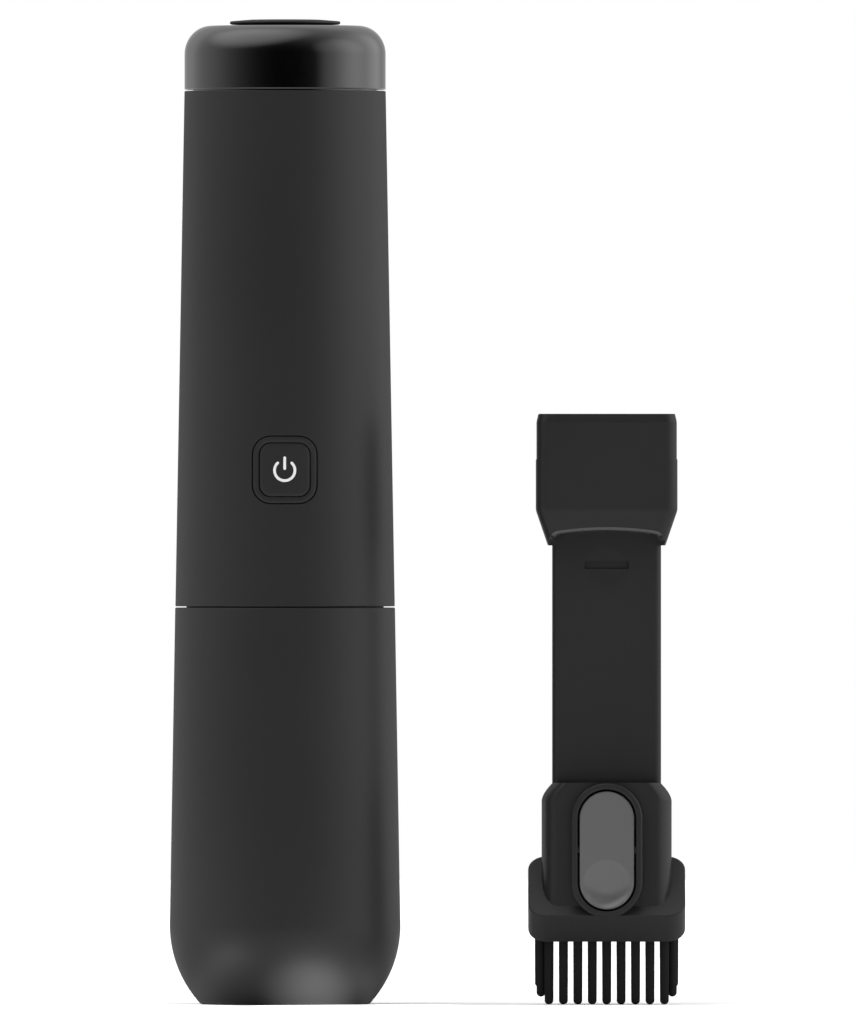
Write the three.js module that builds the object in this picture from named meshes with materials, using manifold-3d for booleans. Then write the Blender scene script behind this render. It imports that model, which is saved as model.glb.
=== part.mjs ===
// A bottle-shaped cordless handheld vacuum cleaner, standing on its suction mouth, and its
// crevice tool with a sliding brush, standing beside it. Millimetres, +Z up, front towards -Y.
// The origin is on the floor, midway along the whole set.
import * as THREE from "three";
import { mergeVertices } from "three/addons/utils/BufferGeometryUtils.js";
import Module from "manifold-3d";

const wasm = await Module();
wasm.setup();

// Shared values
const fitGap = 0.3; // clearance between two pieces that are assembled
const overrun = 2; // how far a cut runs past the face that it opens
const casingWall = 2.2; // moulded wall of cup, housing and cap
const casingSides = 36; // facets round the large casings
const innerSides = 24; // facets round the pieces inside
const smallSides = 12; // facets round screws and pins
const cornerSteps = 3; // facets round a rounded corner, in halves of its quarter turn

// Cleaner, outside
const cupHeight = 117;
const cupTaper = 1.59; // how much the cup narrows from its foot up to its rim
const footSet = 9.2; // edge of the flat foot, inside the widest radius
const seamGap = 0.35; // open seam between cup and housing
const seamStep = 0.06; // housing's lower edge, inside the cup's rim
const housingTaper = 2.67; // how much the housing narrows up to the cap
const capSeam = 0.3; // open seam between housing and cap
const capStep = 0.02; // cap's side, inside the housing's upper edge
const capShoulder = 7.86; // rounding of the cap's edge, across
const capStraight = 10.5; // cylinder below the cap's shoulder
const capHeight = 18.95;
const capSkirt = 9.1; // skirt of the cap, down inside the housing
const discInset = 5.5; // pad on top of the cap, inside the cap's flat
const discSlope = 6.5; // sloping ring round the pad's flat
const discThickness = 1.5;
const discRim = 0.55; // the pad's edge, below its flat
const discStubRadius = 6;
const discStubDepth = 1.25;

// Suction mouth and dust cup
const cupFloor = 2.5;
const footSteps = 5; // facets up the rounded foot
const mouthWidth = 41.9;
const mouthDepth = 26.6;
const mouthCorner = 3.8;
const ductWall = 1.5;
const ductHeight = 24;

// Flap valve over the inlet duct
const flapThickness = 1.5;
const flapPinRadius = 0.9;
const flapKnuckleRadius = 1.9;
const flapKnuckleHalfWidth = 11.7;
const flapEarWidth = 3;
const flapEarDrop = 6; // how far an ear runs down the duct's back wall
const flapNotch = 1.2; // notch in the flap's back edge, in front of an ear

// Motor base with the spigot that plugs into the cup
const spigotFit = 1.14; // clearance between spigot and cup, which the seal ring bridges
const spigotWall = 3.07;
const spigotDepth = 13; // below the cup's rim
const spigotTop = 9; // above the cup's rim, inside the housing
const baseFloor = 2.5;
const centringBottom = 2; // centring ring, above the cup's rim
const centringHeight = 3;
const sealGrooveDepth = 1.3;
const sealGrooveBottom = 3.6; // above the spigot's lower end
const sealSides = 8; // facets round the seal ring's section
const collarRadius = 15.5; // intake collar that carries the filter
const collarWall = 2;
const collarLength = 6.5;

// Screws that hold the motor base in the housing
const columnRoom = 2.6; // between a screw column and the motor's rubber mount
const columnMargin = 0.6; // between a screw column and the spigot's inner wall
const baseScrewShares = [1 / 4, 7 / 12, 11 / 12]; // places, as shares of a full turn
const baseScrewRadius = 1.2;
const baseScrewHeadRadius = 2.5;
const baseScrewHeadHeight = 1.9;
const baseScrewLength = 14;
const columnRadius = 2.9; // screw column of the housing
const columnHeight = 31;
const columnRibWidth = 1.8;
const columnRibHeight = 11;

// Filter
const filterLength = 39.2; // from the foot of its frame to the top of its socket
const filterSocketWall = 1.5;
const filterSocketDepth = 5.7;
const filterFlangeRadius = 22.5;
const filterFlangeThickness = 3;
const filterFootRadius = 21.5;
const filterFootThickness = 2;
const filterPostCount = 4;
const filterPostDepth = 2.4;
const filterPostWidth = 2;
const pleatOuterRadius = 18.4;
const pleatInnerRadius = 14.6;
const pleatThickness = 1.1;
const pleatCount = 24;

// Fan and motor
const shroudRoom = 0.6; // between the shroud and the screw columns
const shroudWall = 1.8;
const shroudHeight = 15.2;
const shroudInletRadius = 10;
const shroudShaftRadius = 7;
const shroudVentRadius = 1.7;
const shroudVentReach = 5.4; // how far a port reaches into the shroud
const shroudVentCount = 8;
const fanEdge = 1; // clearance round the fan
const fanHubRadius = 4;
const fanRunning = 1.4; // clearance between fan and shroud
const fanPlate = 1.2;
const bladeCount = 9;
const bladeThickness = 1;
const bladeSweepShare = 0.35; // how far a blade leans back, as a share of the fan's radius
const bladeRootShare = 0.8; // a blade starts at this share of the hub's radius
const bladeTipShare = 0.97; // and ends at this share of the fan's radius
const shaftRadius = 1.2;
const shaftTail = 2; // how far the shaft stands out above the motor
const mountRubber = 5.4; // rubber under the motor
const mountLip = 4.3; // rubber lip up round the motor
const mountRubberWall = 2.7;
const canRadius = 14;
const canWall = 1.2;
const canHeight = 44;
const bearingRadius = 3.3;
const bearingHeight = 3;
const magnetThickness = 1.6;
const magnetShare = 1 / 3; // share of the circle that one magnet covers
const magnetLengthShare = 0.64; // share of the can's height
const airGap = 0.6;
const coreLengthShare = 0.54;
const coreSlots = 5;
const coreSlotWidth = 2.4;
const coreSlotDepth = 4;
const commutatorRadius = 4;
const commutatorHeight = 4.5;

// Upper motor bracket and battery pack
const bracketThickness = 2;
const bracketLip = 4;
const bracketLipWall = 1.7;
const bracketHoleRadius = 6;
const bracketVentRadius = 3.4;
const bracketVentMargin = 4.35; // between a vent and the housing's wall
const bracketVentShares = [1 / 12, 5 / 12, 1 / 4]; // shares of a full turn, clear of the front
const packLegs = 11.4; // legs of the lower pack holder, down to the bracket
const packLegRadius = 2;
const packLegMargin = 5.65; // from a leg's axis to the housing's wall
const cellRadius = 9.1;
const cellLength = 65;
const cellGap = 0.3; // between two cells
const cellPocket = 2.7; // how deep a cell sits in its holder
const holderThickness = 4.2;
const holderRimHeight = 5.9;
const holderRimWall = 1.6;
const linkThickness = 0.25; // nickel strip that joins the cells
const linkWidthShare = 0.7; // share of a cell's radius

// Charging board and port, at the back
const chargeBoardWidth = 16;
const chargeBoardThickness = 1.6;
const chargeBoardRoom = 4.96; // between the cells and the board
const portWidth = 8.94;
const portHeight = 3.26;
const portShell = 0.4;
const portInset = 1.7; // port's mouth, inside the housing's surface
const portOpeningMargin = 0.4;
const portLengthShare = 0.75; // depth of the port's hollow, as a share of its length

// Exhaust slots and foam, at the back
const slotCount = 6;
const slotWidth = 24;
const slotHeight = 1.6;
const slotsAboveColumns = 6.55; // lowest slot above the screw columns
const slotsBelowBracket = 7.95; // highest slot below the motor's bracket
const foamThickness = 3;
const foamMargin = 2.2; // foam above and below the slots
const foamShare = 1 / 5; // share of the circle that the foam covers

// Power button, bezel and switch board, at the front
const buttonLift = 7.55; // its centre above the motor's middle
const buttonWidth = 14.9;
const buttonTall = 15.8;
const buttonCorner = 3.4;
const buttonGap = 0.5;
const buttonFace = 1.8;
const buttonSkirt = 1.2;
const buttonTravel = 0.8;
const buttonRim = 1; // rim that keeps the button in
const buttonStemRadius = 2;
const bezelRim = 1.4; // width of the bezel's face round the button
const bezelFlange = 1.1; // how far the flange reaches behind the housing
const bezelFlangeThickness = 1.5;
const boardWidth = 26;
const boardEdge = 3; // board's edge below its screws
const boardTopGap = 0.75; // between the board and the motor's bracket
const boardThickness = 1.6;
const boardClearance = 0.8; // behind the pressed button
const switchSide = 6;
const switchDepth = 3.8;
const plungerRadius = 1.7;
const plungerLength = 2;
const plungerProud = 1; // how far the plunger stands out of the switch
const boardBossRadius = 2.2;
const boardBossInset = 4; // from a boss's axis to the board's side
const boardBossMargin = 1.95; // between a boss and the bezel's flange
const boardScrewRadius = 0.9;
const boardScrewLength = 5;
const boardScrewHeadRadius = 1.9;
const boardScrewHeadHeight = 1.3;

// Crevice tool, beside the cleaner
const toolSpacing = 94.8; // from the cleaner's axis to the tool's
const tubeWidth = 32.1;
const tubeDepth = 9.2;
const tubeCorner = 2;
const tubeWall = 1.4;
const latchSlotWidth = 13;
const latchSlotHeight = 2.3;
const latchSlotDrop = 5.75; // centre of the upper slot below the connector
const thumbMarkRadius = 7.2;
const thumbMarkDepth = 0.4;
const thumbMarkDrop = 0.9; // centre of the mark below the slot's

// Connector of the crevice tool
const connectorBottom = 135.3; // above the floor
const connectorLength = 38.8;
const plugBevel = 0.55; // how much the plug narrows at its upper edge
const plugChamfer = 2.3;
const plugLength = 13.4;
const plugStep = 0.1;
const connectorStep = 0.2; // connector's side outside the plug's
const connectorWall = 1.6;
const taperStart = 1; // taper above the connector's lower edge
const taperLength = 9.3;
const taperWall = 1.6; // connector's foot outside the tube
const taperDepth = 1; // how much the taper narrows from front to back
const footBevel = 0.35;
const tubeSeat = 14.7; // how deep the tube sits in the connector
const throatLength = 8; // where the hollow widens above the tube
const archTop = 5.6; // arch's outline above the connector's lower edge
const archShoulder = 4.5;
const archSide = 1.8;
const archFoot = 0.3;
const archInset = 1.55; // arch's shoulder inside the tube's side
const archSideWall = 1.05; // arch's side outside the tube's
const archFootWall = 1.35;
const archSlope = 1.6; // how far the arch falls from the front to the tube

// Sliding brush: its slanted head and its sleeve round the tube
const headSide = 4; // head's side outside the sleeve's
const headLength = 24.85; // along its slope
const headThickness = 11.1;
const headCorner = 5.3;
const headTilt = Math.PI / 4;
const headEdgeHeight = 18.35; // lowest edge of the head above the floor
const sleeveSide = 3.1; // sleeve's side outside the tube's
const sleeveFront = 13.7; // in front of the tube's axis
const sleeveSideFront = 5.6; // where the rounded front ends
const sleeveCorner = 4.7;
const sleeveBack = 6.7;
const sleeveBackCorner = 3;
const sleeveMargin = 0.05; // sleeve's top above the latch's boss
const shoulderHeight = 5.4;
const shoulderHeightShares = [0, 0.22, 0.5, 0.8, 1]; // of the shoulder's height, from the top
const shoulderInsetShares = [1, 0.69, 0.29, 0.06, 0]; // of the sleeve's wall at its side
const headRoot = 9.5; // how deep the sleeve reaches into the head
const sleeveEdgeInset = 0.6; // sleeve's root inside the head's front face

// Bristles
const bristleRadius = 1.225;
const bristlePitch = 4.25;
const bristlesInRow = 9;
const rowPlace = 6.385; // front and back rows, from the tube's axis
const sideBristleShares = [-0.64, -0.214, 0.214, 0.64]; // of the row's place
const sideBristleInset = 3.35; // side bristles inside the head's side
const cornerBristleInset = 0.45; // and the corner ones inside them
const bristleSplit = 2.74; // where the corner slices end
const bristleSides = 8;
const stripThickness = 1.2;
const stripInset = 0.8;
const stripRoot = 0.8; // how deep a bristle is fused into its strip
const recessInset = 0.5;
const tubeTipInset = 1.2; // tube's slanted end inside the head's lower face

// Latch of the brush
const latchRise = 27.15; // latch's centre above the head's lowest edge
const bossRing = 1.85; // wall of the raised ring round the latch
const bossFront = 17.2; // in front of the tube's axis
const latchWidth = 16.1;
const latchTall = 34.8;
const latchGap = 0.6;
const latchFront = 16.9;
const latchThickness = 2.6;
const latchPocketFloor = 9.5;
const latchAxle = 12.3; // rocking axis, in front of the tube's axis
const trunnionRadius = 1.3;
const trunnionLength = 1.85;
const lugHalfHeight = 2.2;
const lugDepth = 3.5;
const dishRadius = 7;
const dishDepth = 1.2;
const dishDrop = 9.7; // centre of the thumb dish below the latch's centre
const toothHeight = 1.5;
const toothHalfWidth = 5;
const toothBite = 0.7; // how far the tooth enters the tube's wall
const toothPlace = 15.05; // above the latch's centre
const toothSwing = 1.3; // room above the tooth as it swings out
const leafThickness = 1;
const leafLength = 10.5;
const leafHalfWidth = 4.6;
const springRadius = 2.2;
const springWire = 0.3;
const springTurns = 4;
const springDrop = 11; // below the latch's centre
const springSteps = 8; // per turn
const springSides = 5;

// Radii, from the motor out to the casing
const baseScrewCircle = canRadius + fitGap + mountRubberWall + columnRoom + columnRadius;
const shroudRadius = baseScrewCircle - columnRadius - shroudRoom;
const shroudVentCircle = shroudRadius - shroudVentReach;
const fanRadius = shroudRadius - shroudWall - fanEdge;
const spigotInnerRadius = baseScrewCircle + columnRadius + columnMargin;
const spigotRadius = spigotInnerRadius + spigotWall;
const cupRimRadius = spigotRadius + spigotFit + casingWall;
const bodyRadius = cupRimRadius + cupTaper; // widest, where the foot meets the cup's side
const baseRadius = bodyRadius - footSet; // flat ring that it stands on
const footCentre = Math.sqrt(bodyRadius ** 2 - baseRadius ** 2);
const housingBottomRadius = cupRimRadius - seamStep;
const housingTopRadius = housingBottomRadius - housingTaper;
const capRadius = housingTopRadius - capStep;
const capTopRadius = capRadius - capShoulder;
const discRadius = capTopRadius - discInset;
const discFlatRadius = discRadius - discSlope;

// Heights, from the cup's rim up through the motor and the battery pack
const spigotBottom = cupHeight - spigotDepth;
const baseTop = spigotBottom + baseFloor;
const columnBottom = baseTop + fitGap;
const columnTop = columnBottom + columnHeight;
const shroudBottom = baseTop + fitGap;
const shroudTop = shroudBottom + shroudHeight;
const canBottom = shroudTop + fitGap + mountRubber + fitGap;
const canTop = canBottom + canHeight;
const canMiddle = (canBottom + canTop) / 2;
const bracketBottom = canTop + fitGap;
const bracketTop = bracketBottom + bracketThickness;
const holderBottom = bracketTop + fitGap + packLegs;
const cellBottom = holderBottom + holderThickness - cellPocket;
const cellTop = cellBottom + cellLength;
const upperPlateBottom = cellTop - cellPocket + fitGap;
const upperPlateTop = upperPlateBottom + holderThickness;
const capSkirtBottom = upperPlateTop + holderRimHeight + fitGap;
const housingBottom = cupHeight + seamGap;
const capBottom = capSkirtBottom + capSkirt;
const capTop = capBottom + capHeight;
const housingTop = capBottom - capSeam;
const housingRadius = (z) =>
  THREE.MathUtils.mapLinear(z, housingBottom, housingTop, housingBottomRadius, housingTopRadius);
const housingInner = (z) => housingRadius(z) - casingWall;
const cupRadius = (z) => THREE.MathUtils.mapLinear(z, footCentre, cupHeight, bodyRadius, cupRimRadius);
const cupInner = (z) => cupRadius(z) - casingWall;

// The button and its board, beside the motor
const buttonHeight = canMiddle + buttonLift;
const openingWidth = buttonWidth + 2 * buttonGap;
const openingTall = buttonTall + 2 * buttonGap;
const openingCorner = buttonCorner + buttonGap;
const bezelWidth = openingWidth + 2 * bezelRim;
const bezelTall = openingTall + 2 * bezelRim;
const bezelCorner = openingCorner + bezelRim;
const boardBossDrop = bezelTall / 2 + bezelFlange + boardBossMargin + boardBossRadius;

// The crevice tool: its connector fits the mouth, and its brush fits its tube
const plugHalfWidth = mouthWidth / 2 - fitGap;
const plugTopHalfWidth = plugHalfWidth - plugBevel;
const connectorHalfWidth = plugHalfWidth + connectorStep;
const connectorHalfDepth = mouthDepth / 2 - fitGap;
const connectorCorner = mouthCorner - fitGap;
const connectorTop = connectorBottom + connectorLength;
const taperBottom = connectorBottom + taperStart;
const taperTop = taperBottom + taperLength;
const taperHalfWidth = tubeWidth / 2 + taperWall;
const taperHalfDepth = connectorHalfDepth - taperDepth;
const connectorFootHalfWidth = taperHalfWidth - footBevel;
const tubeTop = connectorBottom + tubeSeat;
const throatBottom = tubeTop + throatLength;
const latchSlotPlace = connectorBottom - latchSlotDrop;
const bossWidth = latchWidth + 2 * latchGap + 2 * bossRing;
const bossTall = latchTall + 2 * latchGap + 2 * bossRing;
const latchCentre = headEdgeHeight + latchRise;
const sleeveTop = latchCentre + bossTall / 2 + sleeveMargin;
const sleeveHalfWidth = tubeWidth / 2 + sleeveSide;
const headWidth = 2 * (sleeveHalfWidth + headSide);
const bodyX = -(toolSpacing + headWidth / 2 - bodyRadius) / 2;
const toolX = bodyX + toolSpacing;

// Shapes and solids

// Turns a closed geometry into a solid; one whose faces point inwards is turned round.
function solid(geometry) {
  const bare = geometry.clone();
  bare.deleteAttribute("normal");
  bare.deleteAttribute("uv");
  const merged = mergeVertices(bare, fitGap / 1000);
  const triVerts = new Uint32Array(merged.index.array);
  const vertProperties = merged.attributes.position.array;
  const made = new wasm.Manifold(new wasm.Mesh({ numProp: 3, vertProperties, triVerts }));
  if (made.volume() >= 0) return made;
  for (let i = 0; i < triVerts.length; i += 3) {
    [triVerts[i + 1], triVerts[i + 2]] = [triVerts[i + 2], triVerts[i + 1]];
  }
  return new wasm.Manifold(new wasm.Mesh({ numProp: 3, vertProperties, triVerts }));
}

// A solid of revolution about Z, from [radius, height] pairs that run anticlockwise.
function turned(profile, sides, x = 0) {
  const points = profile.map(([radius, height]) => new THREE.Vector2(radius, height));
  const onAxis = profile[0][0] === 0 && profile.at(-1)[0] === 0;
  if (!onAxis) points.push(points[0].clone());
  return solid(new THREE.LatheGeometry(points, sides).rotateX(Math.PI / 2).translate(x, 0, 0));
}

// A shape in X and Y, raised along Z.
function raised(shape, bottom, top, x = 0, y = 0) {
  const geometry = new THREE.ExtrudeGeometry(shape, {
    depth: top - bottom,
    bevelEnabled: false,
    curveSegments: cornerSteps,
  });
  return solid(geometry.translate(x, y, bottom));
}

// A shape in X and Z, run along Y from its front to its back.
function runBack(shape, front, back, x = 0, z = 0) {
  const geometry = new THREE.ExtrudeGeometry(shape, {
    depth: back - front,
    bevelEnabled: false,
    curveSegments: cornerSteps,
  });
  return solid(geometry.rotateX(Math.PI / 2).translate(x, back, z));
}

// A block between two corners.
function block(low, high) {
  const size = high.map((value, axis) => value - low[axis]);
  const centre = high.map((value, axis) => (value + low[axis]) / 2);
  return solid(new THREE.BoxGeometry(...size).translate(...centre));
}

// A cylinder along Z, or along X or Y when it is laid over.
function rod(radius, length, sides, centre, along = "z") {
  const geometry = new THREE.CylinderGeometry(radius, radius, length, sides);
  if (along === "z") geometry.rotateX(Math.PI / 2);
  if (along === "x") geometry.rotateZ(Math.PI / 2);
  return solid(geometry.translate(...centre));
}

function roundedShape(width, height, corner) {
  const shape = new THREE.Shape();
  const x = width / 2 - corner;
  const y = height / 2 - corner;
  shape.absarc(x, y, corner, 0, Math.PI / 2);
  shape.absarc(-x, y, corner, Math.PI / 2, Math.PI);
  shape.absarc(-x, -y, corner, Math.PI, (3 * Math.PI) / 2);
  shape.absarc(x, -y, corner, (3 * Math.PI) / 2, 2 * Math.PI);
  return shape;
}

function polygon(points) {
  return new THREE.Shape(points.map(([x, y]) => new THREE.Vector2(x, y)));
}

// A skin over outlines of equal point counts, one above the other.
function skinned(rings) {
  const count = rings[0].outline.length;
  const positions = rings.flatMap(({ outline, at }) => outline.flatMap((p) => [p.x, p.y, at]));
  const index = [];
  for (let level = 0; level + 1 < rings.length; level++) {
    for (let i = 0; i < count; i++) {
      const a = level * count + i;
      const b = level * count + ((i + 1) % count);
      index.push(a, b, b + count, a, b + count, a + count);
    }
  }
  const last = (rings.length - 1) * count;
  for (const [a, b, c] of THREE.ShapeUtils.triangulateShape(rings[0].outline, [])) index.push(a, c, b);
  for (const [a, b, c] of THREE.ShapeUtils.triangulateShape(rings.at(-1).outline, [])) {
    index.push(last + a, last + b, last + c);
  }
  const geometry = new THREE.BufferGeometry();
  geometry.setAttribute("position", new THREE.Float32BufferAttribute(positions, 3));
  geometry.setIndex(index);
  return geometry;
}

function roundedOutline(halfWidth, halfDepth, corner) {
  return roundedShape(2 * halfWidth, 2 * halfDepth, corner).getPoints(cornerSteps).slice(0, -1);
}

const joined = (parts) => parts.reduce((all, part) => all.add(part));
const cutBy = (body, cuts) => cuts.reduce((rest, cut) => rest.subtract(cut), body);
const turnShare = (share) => 2 * Math.PI * share;

// Materials
const finish = (color, roughness, metalness = 0) =>
  new THREE.MeshStandardMaterial({ color, roughness, metalness });
const satinPlastic = finish(0x2c2c2c, 0.5);
const glossPlastic = finish(0x0a0a0a, 0.08);
const toolPlastic = finish(0x2b2b2b, 0.45);
const greyPlastic = finish(0x5f5f5f, 0.35);
const innerPlastic = finish(0x1d1d1f, 0.6);
const elastomer = finish(0x1b1b1b, 0.7);
const rubber = finish(0x202020, 0.85);
const paper = finish(0xe6e2d6, 0.95);
const foam = finish(0x3a3a3c, 1);
const steel = finish(0xb8bcc2, 0.35, 1);
const copper = finish(0xb87333, 0.4, 1);
const magnetic = finish(0x3b3b40, 0.6, 0.4);
const board = finish(0x1f5a36, 0.5);
const sleeving = finish(0x2f6fb0, 0.4);

const cleaner = new THREE.Group();
const nodes = new THREE.Group();
nodes.add(cleaner);

function piece(name, body, material) {
  const mesh = body.getMesh();
  const geometry = new THREE.BufferGeometry();
  geometry.setAttribute("position", new THREE.Float32BufferAttribute(mesh.vertProperties, 3));
  geometry.setIndex([...mesh.triVerts]);
  const made = new THREE.Mesh(geometry, material);
  made.name = name;
  nodes.add(made);
  return made;
}

// Dust cup: a shell with a rounded foot, and the inlet duct moulded to its floor.
const footArc = (radius, bottom) => {
  const start = Math.asin((bottom - footCentre) / radius);
  return Array.from({ length: footSteps + 1 }, (_, i) => {
    const angle = start * (1 - i / footSteps);
    return [radius * Math.cos(angle), footCentre + radius * Math.sin(angle)];
  });
};
const ductWidth = mouthWidth + 2 * ductWall;
const ductDepth = mouthDepth + 2 * ductWall;
const ductCorner = mouthCorner + ductWall;
const cupShell = turned(
  [
    [0, 0],
    ...footArc(bodyRadius, 0),
    [cupRimRadius, cupHeight],
    [cupRimRadius - casingWall, cupHeight],
    ...footArc(bodyRadius - casingWall, cupFloor).reverse(),
    [0, cupFloor],
  ],
  casingSides,
  bodyX,
);
const duct = raised(roundedShape(ductWidth, ductDepth, ductCorner), cupFloor / 2, ductHeight, bodyX);
const mouth = raised(
  roundedShape(mouthWidth, mouthDepth, mouthCorner),
  -overrun,
  ductHeight + overrun,
  bodyX,
);
const flapBottom = ductHeight + fitGap;
const hingeY = ductDepth / 2 + flapKnuckleRadius;
const hingeZ = flapBottom + flapThickness / 2 + flapPinRadius;
const earReach = flapPinRadius + fitGap + ductWall;
const earInner = flapKnuckleHalfWidth + fitGap;
const ears = [-1, 1].map((side) => {
  const xs = [bodyX + side * earInner, bodyX + side * (earInner + flapEarWidth)].sort((a, b) => a - b);
  return block(
    [xs[0], ductDepth / 2 - ductWall / 2, ductHeight - flapEarDrop],
    [xs[1], hingeY + earReach, hingeZ + earReach],
  ).subtract(
    block(
      [xs[0] - overrun, ductDepth / 2 - ductWall, ductHeight],
      [xs[1] + overrun, ductDepth / 2 + fitGap, hingeZ + earReach + overrun],
    ),
  );
});
const pinBore = rod(
  flapPinRadius + fitGap,
  2 * (earInner + flapEarWidth + overrun),
  smallSides,
  [bodyX, hingeY, hingeZ],
  "x",
);
piece("dust_cup", cutBy(joined([cupShell, duct, ...ears]), [mouth, pinBore]), satinPlastic);

// Flap valve: a rubber lid with a knuckle, on a steel pin between the ears.
const flapPlate = raised(
  roundedShape(ductWidth, ductDepth, ductCorner),
  flapBottom,
  flapBottom + flapThickness,
  bodyX,
);
const flapTongue = block(
  [bodyX - flapKnuckleHalfWidth, ductDepth / 2 - flapKnuckleRadius, flapBottom],
  [bodyX + flapKnuckleHalfWidth, hingeY, flapBottom + flapThickness],
);
const flapKnuckle = rod(
  flapKnuckleRadius,
  2 * flapKnuckleHalfWidth,
  smallSides,
  [bodyX, hingeY, hingeZ],
  "x",
);
const flapNotches = [-1, 1].map((side) => {
  const xs = [bodyX + side * (earInner - fitGap), bodyX + side * (earInner + flapEarWidth + fitGap)];
  xs.sort((a, b) => a - b);
  return block(
    [xs[0], ductDepth / 2 - flapNotch, flapBottom - overrun],
    [xs[1], ductDepth / 2 + overrun, flapBottom + flapThickness + overrun],
  );
});
piece(
  "flap_valve",
  cutBy(joined([flapPlate, flapTongue, flapKnuckle]), [pinBore, ...flapNotches]),
  rubber,
);
piece(
  "flap_pin",
  rod(flapPinRadius, 2 * (earInner + flapEarWidth), smallSides, [bodyX, hingeY, hingeZ], "x"),
  steel,
);

// Motor base: the floor of the motor unit, with the spigot, the seal groove and the intake collar.
const grooveBottom = spigotBottom + sealGrooveBottom;
const sealRadius = (cupInner(grooveBottom) - spigotRadius + sealGrooveDepth - 2 * fitGap) / 2;
const grooveTop = grooveBottom + 2 * sealRadius + 2 * fitGap;
const centringFrom = cupHeight + centringBottom;
const centringRadius = housingInner(centringFrom + centringHeight) - fitGap;
const screwPlaces = baseScrewShares.map((share) => [
  bodyX + baseScrewCircle * Math.cos(turnShare(share)),
  baseScrewCircle * Math.sin(turnShare(share)),
]);
const motorBase = turned(
  [
    [collarRadius - collarWall, spigotBottom - collarLength],
    [collarRadius, spigotBottom - collarLength],
    [collarRadius, spigotBottom],
    [spigotRadius, spigotBottom],
    [spigotRadius, grooveBottom],
    [spigotRadius - sealGrooveDepth, grooveBottom],
    [spigotRadius - sealGrooveDepth, grooveTop],
    [spigotRadius, grooveTop],
    [spigotRadius, centringFrom],
    [centringRadius, centringFrom],
    [centringRadius, centringFrom + centringHeight],
    [spigotRadius, centringFrom + centringHeight],
    [spigotRadius, cupHeight + spigotTop],
    [spigotInnerRadius, cupHeight + spigotTop],
    [spigotInnerRadius, baseTop],
    [collarRadius - collarWall, baseTop],
  ],
  casingSides,
  bodyX,
);
const screwClearances = screwPlaces.map(([x, y]) =>
  rod(baseScrewRadius + fitGap, 2 * baseScrewLength, smallSides, [x, y, spigotBottom]),
);
piece("motor_base", cutBy(motorBase, screwClearances), innerPlastic);

// Seal ring in the spigot's groove.
const sealCentre = spigotRadius - sealGrooveDepth + fitGap + sealRadius;
const sealProfile = Array.from({ length: sealSides }, (_, i) => [
  sealCentre + sealRadius * Math.cos(turnShare(i / sealSides)),
  (grooveBottom + grooveTop) / 2 + sealRadius * Math.sin(turnShare(i / sealSides)),
]);
piece("cup_seal", turned(sealProfile, casingSides, bodyX), rubber);

// Filter: a frame that pushes onto the intake collar, with a ring of pleated paper in it.
const socketRadius = collarRadius + fitGap;
const filterTop = spigotBottom - fitGap;
const filterBottom = filterTop - filterLength;
const flangeTop = filterTop - filterSocketDepth;
const flangeBottom = flangeTop - filterFlangeThickness;
const filterFootTop = filterBottom + filterFootThickness;
const filterCrown = turned(
  [
    [socketRadius - collarWall, flangeBottom],
    [filterFlangeRadius, flangeBottom],
    [filterFlangeRadius, flangeTop],
    [socketRadius + filterSocketWall, flangeTop],
    [socketRadius + filterSocketWall, filterTop],
    [socketRadius, filterTop],
    [socketRadius, spigotBottom - collarLength - fitGap],
    [socketRadius - collarWall, spigotBottom - collarLength - fitGap],
  ],
  innerSides,
  bodyX,
);
const filterFoot = turned(
  [
    [0, filterBottom],
    [filterFootRadius, filterBottom],
    [filterFootRadius, filterFootTop],
    [0, filterFootTop],
  ],
  innerSides,
  bodyX,
);
const filterPosts = Array.from({ length: filterPostCount }, (_, i) => {
  const middle = filterFootRadius - filterPostDepth / 2;
  const post = new THREE.BoxGeometry(
    filterPostDepth,
    filterPostWidth,
    flangeBottom - filterFootTop + 2 * fitGap,
  );
  post.translate(middle - fitGap, 0, (flangeBottom + filterFootTop) / 2);
  return solid(post.rotateZ(turnShare((i + 0.5) / filterPostCount)).translate(bodyX, 0, 0));
});
piece("filter_frame", joined([filterCrown, filterFoot, ...filterPosts]), innerPlastic);

const pleatOutline = (outer, inner) =>
  Array.from({ length: 2 * pleatCount }, (_, i) => {
    const radius = i % 2 ? inner : outer;
    const angle = turnShare(i / (2 * pleatCount));
    return new THREE.Vector2(radius * Math.cos(angle), radius * Math.sin(angle));
  });
const pleatShape = new THREE.Shape(pleatOutline(pleatOuterRadius, pleatInnerRadius));
pleatShape.holes.push(
  new THREE.Path(pleatOutline(pleatOuterRadius - pleatThickness, pleatInnerRadius - pleatThickness)),
);
piece(
  "filter_pleats",
  raised(pleatShape, filterFootTop + fitGap, flangeBottom - fitGap, bodyX),
  paper,
);

// Fan in its shroud, on the floor of the motor base.
const shroud = turned(
  [
    [shroudInletRadius, shroudBottom],
    [shroudRadius, shroudBottom],
    [shroudRadius, shroudTop],
    [shroudShaftRadius, shroudTop],
    [shroudShaftRadius, shroudTop - shroudWall],
    [shroudRadius - shroudWall, shroudTop - shroudWall],
    [shroudRadius - shroudWall, shroudBottom + shroudWall],
    [shroudInletRadius, shroudBottom + shroudWall],
  ],
  innerSides,
  bodyX,
);
// Air leaves the shroud sideways, through a row of ports below its roof.
const shroudVents = Array.from({ length: shroudVentCount }, (_, i) => {
  const port = new THREE.CylinderGeometry(shroudVentRadius, shroudVentRadius, shroudRadius, bristleSides);
  port.rotateZ(Math.PI / 2).translate(shroudVentCircle + shroudRadius / 2, 0, 0);
  port.rotateZ(turnShare((i + 0.5) / shroudVentCount));
  return solid(port.translate(bodyX, 0, shroudTop - shroudWall - 2 * shroudVentRadius));
});
piece("fan_shroud", cutBy(shroud, shroudVents), innerPlastic);

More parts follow.
